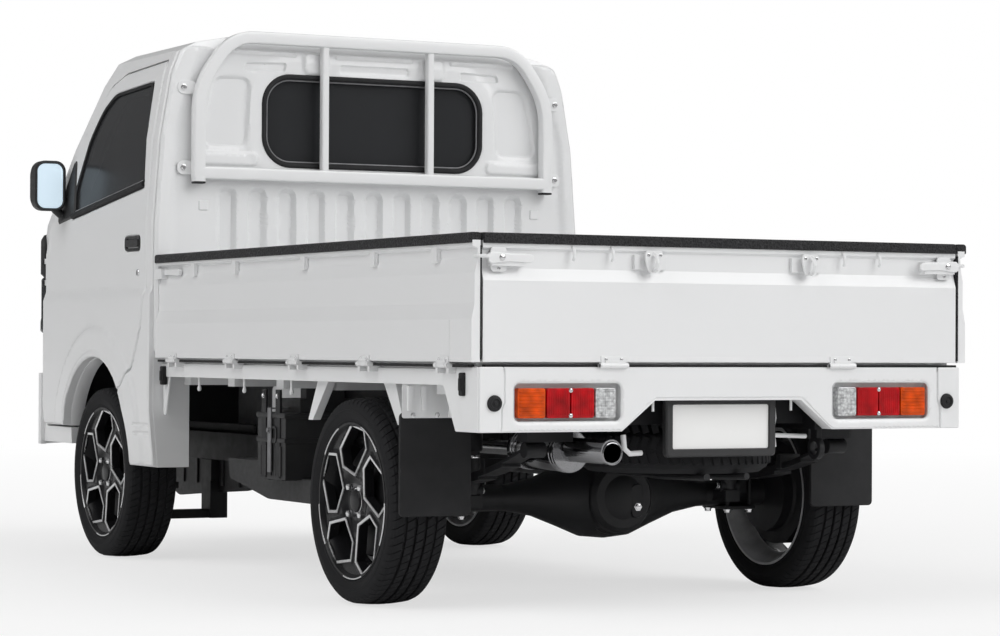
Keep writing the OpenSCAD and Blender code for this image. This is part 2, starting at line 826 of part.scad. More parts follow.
module tailgate_rail() {
    color("#141516") along_y(-tail_half, tail_half)
        polygon([[gate_face_x - 2, gate_top], [gate_face_x - 2, gate_top + cap_h - 4], [gate_face_x + 2, gate_top + cap_h],
            [gate_face_x + gate_t - 2, gate_top + cap_h], [gate_face_x + gate_t, gate_top + cap_h - 2],
            [gate_face_x + gate_t, gate_top]]);
}

// Rope hooks under the rail of a side gate, as share of its length
gate_hooks = [0.1, 0.27, 0.48, 0.71, 0.86];

module side_gate(side) {
    color("#f2f3f3") on_side(side) difference() {
        union() {
            along_x(gate_face_x, gate_front_x) polygon([[gate_face_y, gate_z], [gate_face_y, gate_z + 104],
                [gate_face_y - 8, gate_z + 142], [gate_face_y - 8, gate_z + 216], [gate_face_y - 16, gate_z + 252],
                [gate_face_y - 16, gate_top - 20], [gate_face_y - 2, gate_top - 14], [gate_face_y - 2, gate_top],
                [gate_inner_y, gate_top], [gate_inner_y, gate_z]]);
            for (s = gate_hooks) block([gate_face_x + s * gate_len - 14, gate_face_y - 20, gate_top - 52],
                [gate_face_x + s * gate_len + 14, gate_face_y - 3, gate_top - 10]);
            block([gate_front_x - 70, gate_face_y - 20, gate_top - 56], [gate_front_x - 8, gate_face_y + 8, gate_top - 26]);
            for (x = side_hinges) {
                bar_x(gate_face_x + x - 22, gate_face_x + x + 22, hinge_y, hinge_z, hinge_r);
                block([gate_face_x + x - 22, hinge_y - 16, hinge_z], [gate_face_x + x + 22, hinge_y + 4, gate_z + 5]);
            }
        }
        for (x = side_hinges)
            bar_x(gate_face_x + x - 45, gate_face_x + x + 45, hinge_y, hinge_z, pin_r + fit);
    }
}

module side_gate_rail(side) {
    color("#141516") on_side(side) along_x(gate_face_x, gate_front_x)
        polygon([[gate_face_y + 1, gate_top], [gate_face_y + 1, gate_top + cap_h - 4],
            [gate_face_y - 3, gate_top + cap_h], [gate_inner_y + 2, gate_top + cap_h],
            [gate_inner_y, gate_top + cap_h - 2], [gate_inner_y, gate_top]]);
}

// Front strut, hub carrier, brake plate and spindle
module knuckle(side) {
    color("#303336") on_side(side) {
        translate([fx(0), kingpin_y, 146.5]) cylinder(r = strut_r, h = seat_deck_z - 30 - 146.5 - 6);
        translate([fx(0), kingpin_y, 121]) cylinder(r = 12, h = 30);
        translate([fx(0), kingpin_y, tyre_d + 20]) cylinder(r = 42, h = 60);
        bar_y(fx(0), kingpin_y, wheel_y - 60, hub_z, 46);
        bar_y(fx(0), wheel_y - 64, wheel_y - 54, hub_z, 106);
        bar_y(fx(0), wheel_y - 60, wheel_y + 40, hub_z, spindle_r);
        block([fx(-140), kingpin_y - 20, hub_z - 50], [fx(0), kingpin_y, hub_z - 30]);
    }
}

// Half of the tyre section as radius inset and distance from the middle, from the tread groove outward
tread_grooves = [14, 42];

function tyre_half() = let (w = tyre_w / 2) concat(
    [for (g = tread_grooves, d = [[0, -4], [7, -4], [7, 4], [0, 4]]) [tyre_r - d[0], g + d[1]]],
    [[tyre_r, w - 24], [tyre_r - 4, w - 14], [tyre_r - 18, w - 3], [tyre_r - 38, w], [rim_d / 2 + 16, w - 3],
        [rim_d / 2 + 2, w - 11], [rim_d / 2 - 16.7, w - 11]]);

module tyre(x, side) {
    p = tyre_half();
    color("#17181a") translate([x, side * wheel_y, hub_z]) rotate([90, 0, 0]) rotate_extrude($fn = 96)
        polygon(concat(p, [for (i = [len(p) - 1 : -1 : 0]) [p[i][0], -p[i][1]]]));
}

// Rim window as six corners across and out from the hub
rim_window = [[8, 80], [66, 140], [60, 178], [-4, 190], [-70, 132], [-50, 94]];

module rim(x, side) {
    w = tyre_w / 2 - 10;
    r = rim_d / 2;
    color("#202224") translate([x, side * wheel_y, hub_z]) rotate([-90 * side, 0, 0]) difference() {
        union() {
            rotate_extrude($fn = 96) polygon([[r - 32, -w + 3], [r - 32, w - 3], [r - 28, w + 3], [r, w + 3], [r, w - 0.5],
                [r - 17, w - 0.8], [r - 17, 0.8 - w], [r, 0.5 - w], [r, -w - 3], [r - 28, -w - 3]]);
            difference() {
                translate([0, 0, w - 26]) cylinder(r = r - 30, h = 24);
                for (i = [0 : rim_windows - 1])
                    rotate([0, 0, i * 360 / rim_windows + 90 * (1 + side)]) translate([0, 0, w - 30])
                        linear_extrude(40) polygon(rim_window * (rim_d / 414));
            }
            translate([0, 0, -48]) cylinder(r = 100, h = 44);
            translate([0, 0, -10]) cylinder(r = 72, h = w - 10);
        }
        translate([0, 0, -60]) cylinder(r = spindle_r + fit, h = 102);
    }
}

chassis_frame();
front_suspension();
engine_block();
propeller_shaft();
rear_axle();
leaf_springs();
dampers();
exhaust();
fuel_tank();
battery_box();
spare_wheel();
tow_eyes();
mud_flaps();
deck_floor();
rear_panel();
tail_lamps_amber();
tail_lamps_red();
tail_lamps_clear();
plate_holder();
number_plate();
gate_stops();
guard_frame();
cab_rear_wall();
cab_roof();
cab_front();
cab_floor();
windscreen();
rear_window();
headlamps();
grille();
bumper();
seats();
dashboard();
steering_wheel();
door(1);  // door_left
door_glass(1);  // door_left_glass
door_fittings(1);  // door_left_fittings
door(-1);  // door_right
door_glass(-1);  // door_right_glass
door_fittings(-1);  // door_right_fittings
tailgate();
tailgate_rail();
side_gate(1);  // side_gate_left
side_gate_rail(1);  // side_gate_left_rail
side_gate(-1);  // side_gate_right
side_gate_rail(-1);  // side_gate_right_rail
knuckle(1);  // knuckle_left
knuckle(-1);  // knuckle_right
tyre(front_axle_x, 1);  // tyre_front_left
tyre(front_axle_x, -1);  // tyre_front_right
tyre(rear_axle_x, 1);  // tyre_rear_left
tyre(rear_axle_x, -1);  // tyre_rear_right
rim(front_axle_x, 1);  // rim_front_left
rim(front_axle_x, -1);  // rim_front_right
rim(rear_axle_x, 1);  // rim_rear_left
rim(rear_axle_x, -1);  // rim_rear_right
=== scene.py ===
"""Looks of the mini pickup truck, laid out as an add-on and run as a script."""

import json
import math

import bmesh
import bpy
import numpy as np
from bpy.props import FloatProperty, FloatVectorProperty, IntProperty, PointerProperty
from mathutils import Matrix, Vector
from mathutils.geometry import delaunay_2d_cdt


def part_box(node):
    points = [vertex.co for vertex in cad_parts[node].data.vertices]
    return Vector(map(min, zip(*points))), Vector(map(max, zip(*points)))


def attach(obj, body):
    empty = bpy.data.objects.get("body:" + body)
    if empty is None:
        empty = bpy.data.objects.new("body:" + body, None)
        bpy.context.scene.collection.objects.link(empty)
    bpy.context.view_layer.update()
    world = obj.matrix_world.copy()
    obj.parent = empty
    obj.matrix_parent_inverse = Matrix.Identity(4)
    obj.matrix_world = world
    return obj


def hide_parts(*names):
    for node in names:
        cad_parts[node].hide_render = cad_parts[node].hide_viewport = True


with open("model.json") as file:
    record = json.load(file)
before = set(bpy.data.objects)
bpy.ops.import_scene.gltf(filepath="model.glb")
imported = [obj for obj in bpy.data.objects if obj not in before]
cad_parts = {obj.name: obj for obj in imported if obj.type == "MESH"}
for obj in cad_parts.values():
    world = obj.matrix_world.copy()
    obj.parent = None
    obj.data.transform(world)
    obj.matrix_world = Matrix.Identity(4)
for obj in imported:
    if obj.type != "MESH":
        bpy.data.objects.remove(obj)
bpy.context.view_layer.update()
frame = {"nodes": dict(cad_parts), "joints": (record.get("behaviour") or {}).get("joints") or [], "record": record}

bl_info = {
    "name": "Mini pickup truck",
    "version": (1, 0, 0),
    "blender": (4, 5, 0),
    "location": "View3D > Sidebar > Truck",
    "description": "Dresses the packed truck with its finishes, wheels, panels, lamps and fittings",
    "category": "Object",
}

JOINT = {joint["name"]: Vector(joint["pos_m"]) for joint in frame["joints"]}
REAR_X = JOINT["spin_rear_left"].x
FRONT_X = JOINT["spin_front_left"].x
WHEEL_Y = JOINT["spin_rear_left"].y
HUB_Z = JOINT["spin_rear_left"].z
HALF_W = JOINT["door_left_hinge"].y
CAB_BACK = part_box("cab_rear_wall")[0].x
GATE_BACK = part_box("side_gate_left")[0].x
GATE_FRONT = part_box("side_gate_left")[1].x
HINGE_Z = JOINT["tailgate_hinge"].z
SIDES = (("left", 1), ("right", -1))
COLOUR = {"subtype": "COLOR", "size": 3, "min": 0, "max": 1}


class TruckColours(bpy.types.PropertyGroup):
    """Colours that a user would change."""

    paint: FloatVectorProperty(name="Paint", description="Body paint", default=(0.80, 0.805, 0.81), **COLOUR)
    chassis: FloatVectorProperty(name="Chassis", description="Underbody paint",
                                 default=(0.009, 0.009, 0.010), **COLOUR)
    plastic: FloatVectorProperty(name="Plastic", description="Black plastic", default=(0.016, 0.016, 0.017),
                                 **COLOUR)
    rubber: FloatVectorProperty(name="Rubber", description="Seals, rails and flaps",
                                default=(0.018, 0.018, 0.019), **COLOUR)
    tyre: FloatVectorProperty(name="Tyre", description="Tyre rubber", default=(0.009, 0.009, 0.010),
                              **COLOUR)
    glass: FloatVectorProperty(name="Glass", description="Tinted windows", default=(0.030, 0.031, 0.033),
                               **COLOUR)
    amber: FloatVectorProperty(name="Amber", description="Turn lamp lens", default=(0.70, 0.080, 0.003),
                               **COLOUR)
    red: FloatVectorProperty(name="Red", description="Tail lamp lens", default=(0.46, 0.002, 0.006),
                             **COLOUR)
    # the mirror tint also colours the glass's painted glow, a painted reflection
    mirror: FloatVectorProperty(name="Mirror", description="Tint of the mirror glass",
                                default=(0.74, 0.89, 1.0), **COLOUR)


class TruckSizes(bpy.types.PropertyGroup):
    """Sizes that a user would change."""

    edge: FloatProperty(name="Edge", description="Rounding of pressed edges", unit="LENGTH",
                        default=0.003, min=0.0005, max=0.01)
    panel_pitch: FloatProperty(name="Panel pitch", description="Mesh spacing of pressed panels",
                               unit="LENGTH",
                               default=0.012, min=0.006, max=0.04)
    sipes: IntProperty(name="Sipes", description="Sipes round one tyre", default=72, min=24, max=120)
    lens: FloatProperty(name="Lens", description="Camera focal length in millimetres", default=103.7, min=20,
                        max=300)


class Signal:
    """A shader socket that takes part in sums and products."""

    def __init__(self, finish, socket):
        self.finish, self.socket = finish, socket

    def math(self, operation, first, second):
        return self.finish.node("ShaderNodeMath", {"operation": operation}, {0: first, 1: second})

    def __add__(self, other):
        return self.math("ADD", self, other)

    def __sub__(self, other):
        return self.math("SUBTRACT", self, other)

    def __rsub__(self, other):
        return self.math("SUBTRACT", other, self)

    def __mul__(self, other):
        return self.math("MULTIPLY", self, other)

    def __pow__(self, other):
        return self.math("POWER", self, other)

    __radd__ = __add__
    __rmul__ = __mul__

    def clamp(self):
        return self.finish.node("ShaderNodeClamp", {}, {"Value": self})

    def sine(self):
        return self.math("SINE", self, 0.0)


class Finish:
    """A material or the world, whose nodes are made by one method."""

    def __init__(self, name, world=False):
        self.owner = (bpy.data.worlds if world else bpy.data.materials).new(name)
        self.owner.use_nodes = True
        self.tree = self.owner.node_tree
        self.shader = self.tree.nodes["Background" if world else "Principled BSDF"]
        self.output = self.tree.nodes["World Output" if world else "Material Output"]

    def plug(self, socket, value):
        if isinstance(value, Signal):
            self.tree.links.new(value.socket, socket)
        else:
            socket.default_value = value

    def node(self, kind, settings, sockets, output=0):
        made = self.tree.nodes.new(kind)
        for key, value in settings.items():
            setattr(made, key, value)
        for key, value in sockets.items():
            self.plug(made.inputs[key], value)
        return Signal(self, made.outputs[output])

    def set(self, **sockets):
        for key, value in sockets.items():
            self.plug(self.shader.inputs[key.replace("_", " ").title().replace("Ior", "IOR")], value)

    def place(self):
        return self.node("ShaderNodeTexCoord", {}, {}, "Object")

    def axis(self, name):
        return self.node("ShaderNodeSeparateXYZ", {}, {0: self.place()}, name)

    def noise(self, scale, detail=3.0):
        return self.node("ShaderNodeTexNoise", {},
                         {"Vector": self.place(), "Scale": scale, "Detail": detail})

    def cells(self, scale):
        return self.node("ShaderNodeTexVoronoi", {}, {"Vector": self.place(), "Scale": scale}, "Distance")

    def mix(self, factor, first, second):
        tints = [(*c, 1) if isinstance(c, tuple) else c for c in (first, second)]
        return self.node("ShaderNodeMix", {"data_type": "RGBA"}, {0: factor, 6: tints[0], 7: tints[1]}, 2)

    def tones(self, factor, tint, dark, light):
        """A colour between two shares of a tint."""
        return self.mix(factor, shade(tint, dark), shade(tint, light))

    def cover(self, factor, other):
        """Shows another shader in place of the finish's own by a factor."""
        both = self.node("ShaderNodeMixShader", {},
                         {0: factor, 1: Signal(self, self.shader.outputs[0]), 2: other})
        self.plug(self.output.inputs["Surface"], both)

    def bump(self, height, strength, distance=0.001):
        self.plug(self.shader.inputs["Normal"],
                  self.node("ShaderNodeBump", {},
                            {"Height": height, "Strength": strength, "Distance": distance}))


FINISHES = {}


def shade(colour, share):
    """A colour made darker or lighter by a share."""
    return tuple(min(1.0, c * share) for c in colour)


def colour(name):
    return tuple(getattr(bpy.context.scene.truck_colours, name))


def finish_paint(name, tint):
    f = Finish(name)
    low = (0.5 - f.axis("Z")) * 2.2
    dust = (low.clamp() * f.noise(6.0, 4.0)).clamp()
    tone = f.tones(f.noise(2.0, 2.0), tint, 0.975, 1.015)
    f.set(base_color=f.mix(dust * 0.3, tone, (0.42, 0.40, 0.37)), roughness=f.noise(5.0) * 0.04 + 0.30,
          coat_weight=0.35, coat_roughness=0.1)
    f.bump(f.noise(24.0, 1.0), 0.004)
    return f


def finish_satin_black(name, tint):
    f = Finish(name)
    grime = f.noise(9.0, 5.0) ** 2.0
    f.set(base_color=f.tones(grime, tint, 1.0, 2.4), roughness=f.noise(30.0) * 0.25 + 0.36,
          specular_ior_level=0.3)
    f.bump(f.noise(160.0, 3.0), 0.18)
    return f


def finish_moulded(name, tint):
    f = Finish(name)
    f.set(base_color=f.tones(f.noise(20.0), tint, 0.8, 1.4), roughness=f.noise(60.0) * 0.2 + 0.42)
    f.bump(f.noise(900.0, 2.0), 0.22)
    return f


def finish_pebbled(name, tint):
    f = Finish(name)
    grain = f.cells(190.0)
    f.set(base_color=f.tones(grain, tint, 0.5, 2.6), roughness=0.66 - grain * 0.2, specular_ior_level=0.2)
    f.bump(grain + f.noise(420.0), 1.0, 0.003)
    return f


def finish_rubber(name, tint):
    f = Finish(name)
    f.set(base_color=f.tones(f.noise(12.0, 5.0), tint, 0.7, 1.6), roughness=f.noise(45.0) * 0.2 + 0.55,
          specular_ior_level=0.22)
    f.bump(f.noise(520.0, 3.0), 0.15)
    return f


def finish_tyre(name, tint):
    f = Finish(name)
    worn = f.noise(24.0, 6.0)
    f.set(base_color=f.tones(worn, tint, 0.75, 1.9), roughness=worn * 0.2 + 0.6, specular_ior_level=0.2)
    f.bump(f.noise(600.0, 4.0), 0.2)
    return f


def finish_glass(name, tint):
    f = Finish(name)
    haze = f.noise(3.0, 3.0)
    f.set(base_color=f.tones(haze, tint, 0.9, 1.12), roughness=haze * 0.06 + 0.16, alpha=0.95,
          specular_ior_level=0.12)
    return f


def finish_bright(name, tint):
    f = Finish(name)
    f.set(base_color=f.tones(f.noise(18.0, 4.0), tint, 0.82, 1.0), metallic=1.0,
          roughness=f.noise(70.0, 4.0) * 0.14 + 0.06)
    f.bump(f.noise(300.0), 0.03)
    return f


def finish_cast(name, tint):
    f = Finish(name)
    f.set(base_color=f.tones(f.noise(26.0, 5.0), tint, 0.6, 1.2), metallic=0.7,
          roughness=f.noise(40.0) * 0.25 + 0.45)
    f.bump(f.noise(260.0, 4.0), 0.4)
    return f


def finish_turned(name, tint):
    """Bright metal with the fine rings of a lathe about the wheel's own axis."""
    f = Finish(name)
    flat = f.node("ShaderNodeVectorMath", {"operation": "MULTIPLY"}, {0: f.place(), 1: (1, 0, 1)}, 0)
    radius = f.node("ShaderNodeVectorMath", {"operation": "LENGTH"}, {0: flat}, 1)
    rings = (radius * 5200.0).sine()
    f.set(base_color=f.tones(f.noise(40.0), tint, 0.86, 1.0), metallic=1.0, roughness=rings * 0.05 + 0.27)
    f.bump(rings, 0.05, 0.0005)
    return f


def finish_gloss(name, tint):
    f = Finish(name)
    f.set(base_color=f.tones(f.noise(30.0), tint, 0.8, 1.3), roughness=f.noise(50.0) * 0.06 + 0.18,
          specular_ior_level=0.14)
    f.bump(f.noise(500.0), 0.02)
    return f


def finish_lens(name, tint):
    """Coloured lamp plastic, with the light of the reflector behind it painted in: lighter near the middle of each
    cell.
    """
    f = Finish(name)
    painted_reflector_light = f.cells(38.0)
    # painted reflection: the cells paint the reflector's light into the lens colour, lighter near each cell's
    # middle
    f.set(base_color=f.tones(painted_reflector_light.clamp(), tint, 1.25, 0.55), roughness=f.noise(60.0) * 0.05 + 0.12,
          specular_ior_level=0.2, coat_weight=0.14, coat_roughness=0.03)
    f.bump(f.noise(150.0), 0.05)
    return f


def finish_clear(name, tint):
    f = Finish(name)
    facets = f.cells(110.0)
    f.set(base_color=f.tones(facets.clamp(), tint, 1.0, 0.45), metallic=facets * 0.6,
          roughness=f.noise(90.0) * 0.1 + 0.08, coat_weight=1.0, coat_roughness=0.03)
    f.bump(facets, 0.35)
    return f


def finish_plate(name, tint):
    f = Finish(name)
    f.set(base_color=f.tones(f.noise(7.0), tint, 0.97, 1.0), roughness=f.noise(80.0) * 0.1 + 0.35)
    f.bump(f.noise(350.0), 0.03)
    return f


def finish_mirror_painted_glow(name, tint):
    f = Finish(name)
    # painted reflection: the emission paints a bright sky's reflection into the glass, which is no lamp
    f.set(base_color=f.tones(f.noise(9.0), tint, 0.98, 1.0), metallic=0.2,
          roughness=f.noise(30.0) * 0.02 + 0.05, emission_color=(*tint, 1.0), emission_strength=0.55)
    return f


def finish_cloth(name, tint):
    f = Finish(name)
    warp = (f.axis("Y") * 2600.0).sine()
    weft = (f.axis("Z") * 2600.0 + f.axis("X") * 2600.0).sine()
    weave = warp * weft * 0.5 + 0.5
    f.set(base_color=f.tones(weave.clamp(), tint, 0.65, 1.3), roughness=0.9 - f.noise(30.0) * 0.1,
          sheen_weight=0.3)
    f.bump(weave, 0.4)
    return f


RECIPES = {
    "body_paint": (finish_paint, "paint"),
    "frame_black": (finish_satin_black, "chassis"),
    "engine_metal": (finish_cast, (0.28, 0.28, 0.29)),
    "exhaust_metal": (finish_bright, (0.80, 0.80, 0.81)),
    "silencer_metal": (finish_bright, (0.34, 0.34, 0.35)),
    "black_plastic": (finish_moulded, "plastic"),
    "black_rubber": (finish_rubber, "rubber"),
    "rail_rubber": (finish_pebbled, "rubber"),
    "tyre_rubber": (finish_tyre, "tyre"),
    "barrel_metal": (finish_cast, (0.60, 0.60, 0.61)),
    "rim_black": (finish_gloss, (0.010, 0.010, 0.011)),
    "turned_metal": (finish_turned, (0.82, 0.82, 0.83)),
    "dark_glass": (finish_glass, "glass"),
    "lamp_clear": (finish_clear, (0.80, 0.81, 0.82)),
    "lamp_amber": (finish_lens, "amber"),
    "lamp_red": (finish_lens, "red"),
    "lamp_smoke": (finish_glass, (0.045, 0.047, 0.050)),
    "plate_white": (finish_plate, (0.86, 0.86, 0.85)),
    "mirror_glass": (finish_mirror_painted_glow, "mirror"),
    "seat_fabric": (finish_cloth, (0.075, 0.078, 0.082)),
}


def finish(name):
    """The material of that name, made the first time it is asked for."""
    if name not in FINISHES:
        recipe, tint = RECIPES[name]
        FINISHES[name] = recipe(name, colour(tint) if isinstance(tint, str) else tint).owner
    return FINISHES[name]


ORDER = {"x": (2, 0, 1), "y": (0, 2, 1), "z": (0, 1, 2)}
BOLT_HEAD = ((1.35, 0.0), (1.35, 0.3), (1.0, 0.35), (1.0, 0.85), (0.8, 1.0), (0.0, 1.0))


class Form:
    """A mesh under construction, in metres in the truck's frame."""

    def __init__(self, *finishes):
        self.bm = bmesh.new()
        self.finishes = finishes
        self.layer = 0

    def use(self, name):
        """The finish of what is added next."""
        self.layer = self.finishes.index(name)
        return self

    def merge(self, part, at=None):
        """Takes a finished part into the form, with the current finish."""
        bmesh.ops.recalc_face_normals(part, faces=part.faces)
        for face in part.faces:
            face.material_index = self.layer
        if at is not None:
            bmesh.ops.transform(part, matrix=at, verts=part.verts)
        mesh = bpy.data.meshes.new("part")
        part.to_mesh(mesh)
        part.free()
        self.bm.from_mesh(mesh)
        bpy.data.meshes.remove(mesh)
        return self

    def prism(self, outline, axis, low, high, bevel=0.0, segments=2, at=None):
        """An outline drawn out along one axis, with its edges rounded."""
        order = ORDER[axis]
        part = bmesh.new()
        ends = [[part.verts.new([(a, b, t)[i] for i in order]) for a, b in outline]
                for t in sorted((low, high))]
        part.faces.new(ends[0])
        part.faces.new(ends[1])
        for i in range(len(outline)):
            j = (i + 1) % len(outline)
            part.faces.new((ends[0][i], ends[0][j], ends[1][j], ends[1][i]))
        bmesh.ops.recalc_face_normals(part, faces=part.faces)
        if bevel:
            sharp = [e for e in part.edges if e.calc_face_angle(0.0) > math.radians(25)]
            bmesh.ops.bevel(part, geom=sharp, offset=bevel, segments=segments, profile=0.5, affect="EDGES",
                            clamp_overlap=True)
        return self.merge(part, at)

    def block(self, x, y, z, bevel=0.002):
        """A box from three pairs of limits in any order."""
        (x0, x1), (y0, y1) = sorted(x), sorted(y)
        return self.prism([(x0, y0), (x1, y0), (x1, y1), (x0, y1)], "z", *z, bevel)

    def lathe(self, profile, axis, centre, count=48, at=None, capped=True):
        """A profile of radius and distance along the axis, turned about the axis."""
        order = ORDER[axis]
        part = bmesh.new()
        rings = []
        for radius, along in profile:
            ring = []
            for k in range(count if radius > 1e-6 else 1):
                a = 2 * math.pi * k / count
                p = (radius * math.cos(a), radius * math.sin(a), along)
                ring.append(part.verts.new(Vector([p[i] for i in order]) + Vector(centre)))
            rings.append(ring)
        for one, two in zip(rings, rings[1:]):
            for k in range(count):
                corners = [one[k % len(one)], one[(k + 1) % len(one)], two[(k + 1) % len(two)],
                           two[k % len(two)]]
                corners = list(dict.fromkeys(corners))
                if len(corners) > 2:
                    part.faces.new(corners)
        for ring in (rings[0], rings[-1]):
            if capped and len(ring) > 1 and profile[0] != profile[-1]:
                part.faces.new(ring)
        bmesh.ops.remove_doubles(part, verts=part.verts, dist=1e-6)
        return self.merge(part, at)

    def pin(self, radius, low, high, axis, place, count):
        """A plain round bar along an axis."""
        return self.lathe(((0.0, low), (radius, low), (radius, high), (0.0, high)), axis, place, count)

    def screw(self, place, axis, out, radius=0.005, height=0.004, sides=6):
        """A bolt head that stands out along an axis."""
        return self.lathe([(radius * r, height * h * out) for r, h in BOLT_HEAD], axis, place, sides)

    def hinge(self, place, axis, length, radius=0.0075):
        """A knuckled hinge with a pin end at each side, along an axis."""
        for k in range(3):
            low = -length / 2 + k * length / 3 + 0.001
            self.pin(radius, low, low + length / 3 - 0.002, axis, place, 16)
        for end in (-1, 1):
            self.pin(radius * 0.6, end * (length / 2 + 0.003), end * length / 2, axis, place, 12)

    def tube(self, path, radius, count=12, closed=False, flat=1.0):
        """A round or flattened bar that follows a path."""
        part = bmesh.new()
        points = [Vector(p) for p in path]
        angles = [2 * math.pi * (k + 0.5) / count for k in range(count)]
        last = len(points) - 1
        side = None
        rings = []
        for i, p in enumerate(points):
            ahead = points[(i + 1) % len(points)] if closed or i < last else p
            behind = points[i - 1] if closed or i > 0 else p
            along = (ahead - behind).normalized()
            if side is None:
                upright = abs(along.z) > 0.9
                side = along.orthogonal().normalized() if upright else Vector((0, 0, 1)).cross(along)
            side = (side - along * side.dot(along)).normalized()
            up = along.cross(side)
            across, rise = side * radius, up * radius * flat
            rings.append([part.verts.new(p + across * math.cos(a) + rise * math.sin(a)) for a in angles])
        for one, two in zip(rings, rings[1:] + (rings[:1] if closed else [])):
            for k in range(count):
                part.faces.new((one[k], one[(k + 1) % count], two[(k + 1) % count], two[k]))
        if not closed:
            part.faces.new(rings[0])
            part.faces.new(rings[-1])
        return self.merge(part)

    def panel(self, outline, holes, presses, place, pitch, hem=0.003, back=0.0):
        """A pressed panel over an outline with holes. A press is an outline, a height and the width of its
        slope; place turns a point of the plane and a height into a point in space; back is the rear skin."""
        loops = [spaced(outline, pitch)] + [spaced(hole, pitch) for hole in holes]
        lines = [inset(loop, hem, k > 0) for k, loop in enumerate(loops)]
        for shape, _, slope in presses:
            fine = spaced(shape, max(slope, pitch * 0.6))
            lines += [inset(fine, slope * share, False) for share in (-0.5, 0.0, 0.5)]
        low, high = loops[0].min(0), loops[0].max(0)
        grid = np.stack(np.meshgrid(np.arange(low[0] + pitch / 2, high[0], pitch),
                                    np.arange(low[1] + pitch / 2, high[1], pitch)), -1).reshape(-1, 2)
        fill = np.concatenate(lines + [grid])
        fill = fill[np.min([np.abs(gap_to(fill, loop)) for loop in loops], axis=0) > hem * 0.6]
        fill = fill[within(fill, loops)]
        edges, first = [], 0
        for loop in loops:
            edges += [(first + k, first + (k + 1) % len(loop)) for k in range(len(loop))]
            first += len(loop)
        points = np.concatenate(loops + [fill])
        verts, _, faces, *_ = delaunay_2d_cdt([Vector(p) for p in points], edges, [], 0, 1e-6)
        flat = np.array([tuple(v) for v in verts])
        corners = np.array(faces)
        faces = [f for f, keep in zip(faces, within(flat[corners].mean(1), loops)) if keep]
        height = sum(rise * smooth(0.5 - gap_to(flat, np.array(shape)) / slope)
                     for shape, rise, slope in presses)
        rim_gap = np.min([np.abs(gap_to(flat, loop)) for loop in loops], axis=0)
        height = height - hem * (1 - np.clip(rim_gap / hem, 0, 1)) ** 2
        part = bmesh.new()
        front = [part.verts.new(place(u, v, h)) for (u, v), h in zip(flat, height)]
        rear = {}
        rim = {}
        for f in faces:
            part.faces.new([front[i] for i in f])
            for a, b in zip(f, f[1:] + f[:1]):
                if rim.pop((b, a), None) is None:
                    rim[a, b] = True
        for a, b in rim:
            for i in (a, b):
                rear.setdefault(i, part.verts.new(place(*flat[i], back)) if i not in rear else None)
            part.faces.new((front[b], front[a], rear[a], rear[b]))
        bmesh.ops.delete(part, geom=[v for v in part.verts if not v.link_faces], context="VERTS")
        return self.merge(part)

    def band(self, *loops, closed=True):
        """Faces between outlines that have the same number of points."""
        part = bmesh.new()
        rows = [[part.verts.new(p) for p in loop] for loop in loops]
        count = len(rows[0])
        for one, two in zip(rows, rows[1:]):
            for k in range(count if closed else count - 1):
                part.faces.new((one[k], one[(k + 1) % count], two[(k + 1) % count], two[k]))
        return self.merge(part)

    def mesh(self, name, angle=32.0):
        """The finished mesh, smooth with sharp edges kept."""
        made = bpy.data.meshes.new(name)
        self.bm.to_mesh(made)
        self.bm.free()
        for f in self.finishes:
            made.materials.append(finish(f))
        made.shade_smooth()
        made.set_sharp_from_angle(angle=math.radians(angle))
        return made

    def done(self, name, body, stands_for=(), angle=32.0):
        """Makes the form an object that rides on a body of the truck."""
        made = stand(self.mesh(name, angle), name, body, stands_for)
        even = made.modifiers.new("even shading", "WEIGHTED_NORMAL")
        even.keep_sharp = True
        return made


def stand(mesh, name, body, stands_for=(), at=None):
    """Puts a mesh in place as a piece that rides on a body of the truck."""
    made = bpy.data.objects.new(name, mesh)
    bpy.context.scene.collection.objects.link(made)
    if at is not None:
        made.matrix_world = at
    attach(made, body)
    if stands_for:
        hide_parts(*stands_for)
    return made


def spaced(loop, pitch):
    """A closed outline with no edge longer than the pitch."""
    made = []
    for (x0, y0), (x1, y1) in zip(loop, loop[1:] + loop[:1]):
        steps = max(1, math.ceil(math.hypot(x1 - x0, y1 - y0) / pitch))
        made += [(x0 + (x1 - x0) * k / steps, y0 + (y1 - y0) * k / steps) for k in range(steps)]
    return np.array(made)


def inset(loop, distance, hole):
    """The outline moved into the panel."""
    ahead, behind = np.roll(loop, -1, 0), np.roll(loop, 1, 0)
    along = ahead - behind
    along = along / np.linalg.norm(along, axis=1)[:, None]
    x, y = loop[:, 0], loop[:, 1]
    turn = np.sum(x * np.roll(y, -1) - np.roll(x, -1) * y)
    normal = np.stack([-along[:, 1], along[:, 0]], 1) * (1 if turn > 0 else -1) * (-1 if hole else 1)
    return loop + normal * distance


def grown(loop, distance):
    """An outline with few corners, moved outwards with its corners kept sharp."""
    points = [Vector(p) for p in loop]
    turn = sum(a.x * b.y - b.x * a.y for a, b in zip(points, points[1:] + points[:1]))
    made = []
    for k, p in enumerate(points):
        one = (p - points[k - 1]).normalized()
        two = (points[(k + 1) % len(points)] - p).normalized()
        normals = [Vector((n.y, -n.x)) * (1 if turn > 0 else -1) for n in (one, two)]
        move = p + (normals[0] + normals[1]) * distance / (1 + normals[0].dot(normals[1]))
        made.append((move.x, move.y))
    return made


def gap_to(points, loop):
    """Distance of each point to a closed outline, negative inside it."""
    ahead = np.roll(loop, -1, 0) - loop
    rows = []
    for some in np.array_split(points, max(1, len(points) // 2000)):
        away = some[:, None] - loop[None]
        share = np.clip((away * ahead).sum(2) / np.maximum((ahead ** 2).sum(1), 1e-12), 0, 1)
        rows.append(np.linalg.norm(away - share[..., None] * ahead, axis=2).min(1))
    gap = np.concatenate(rows)
    return np.where(within(points, [loop]), -gap, gap)


def smooth(x):
    x = np.clip(x, 0, 1)
    return x * x * (3 - 2 * x)


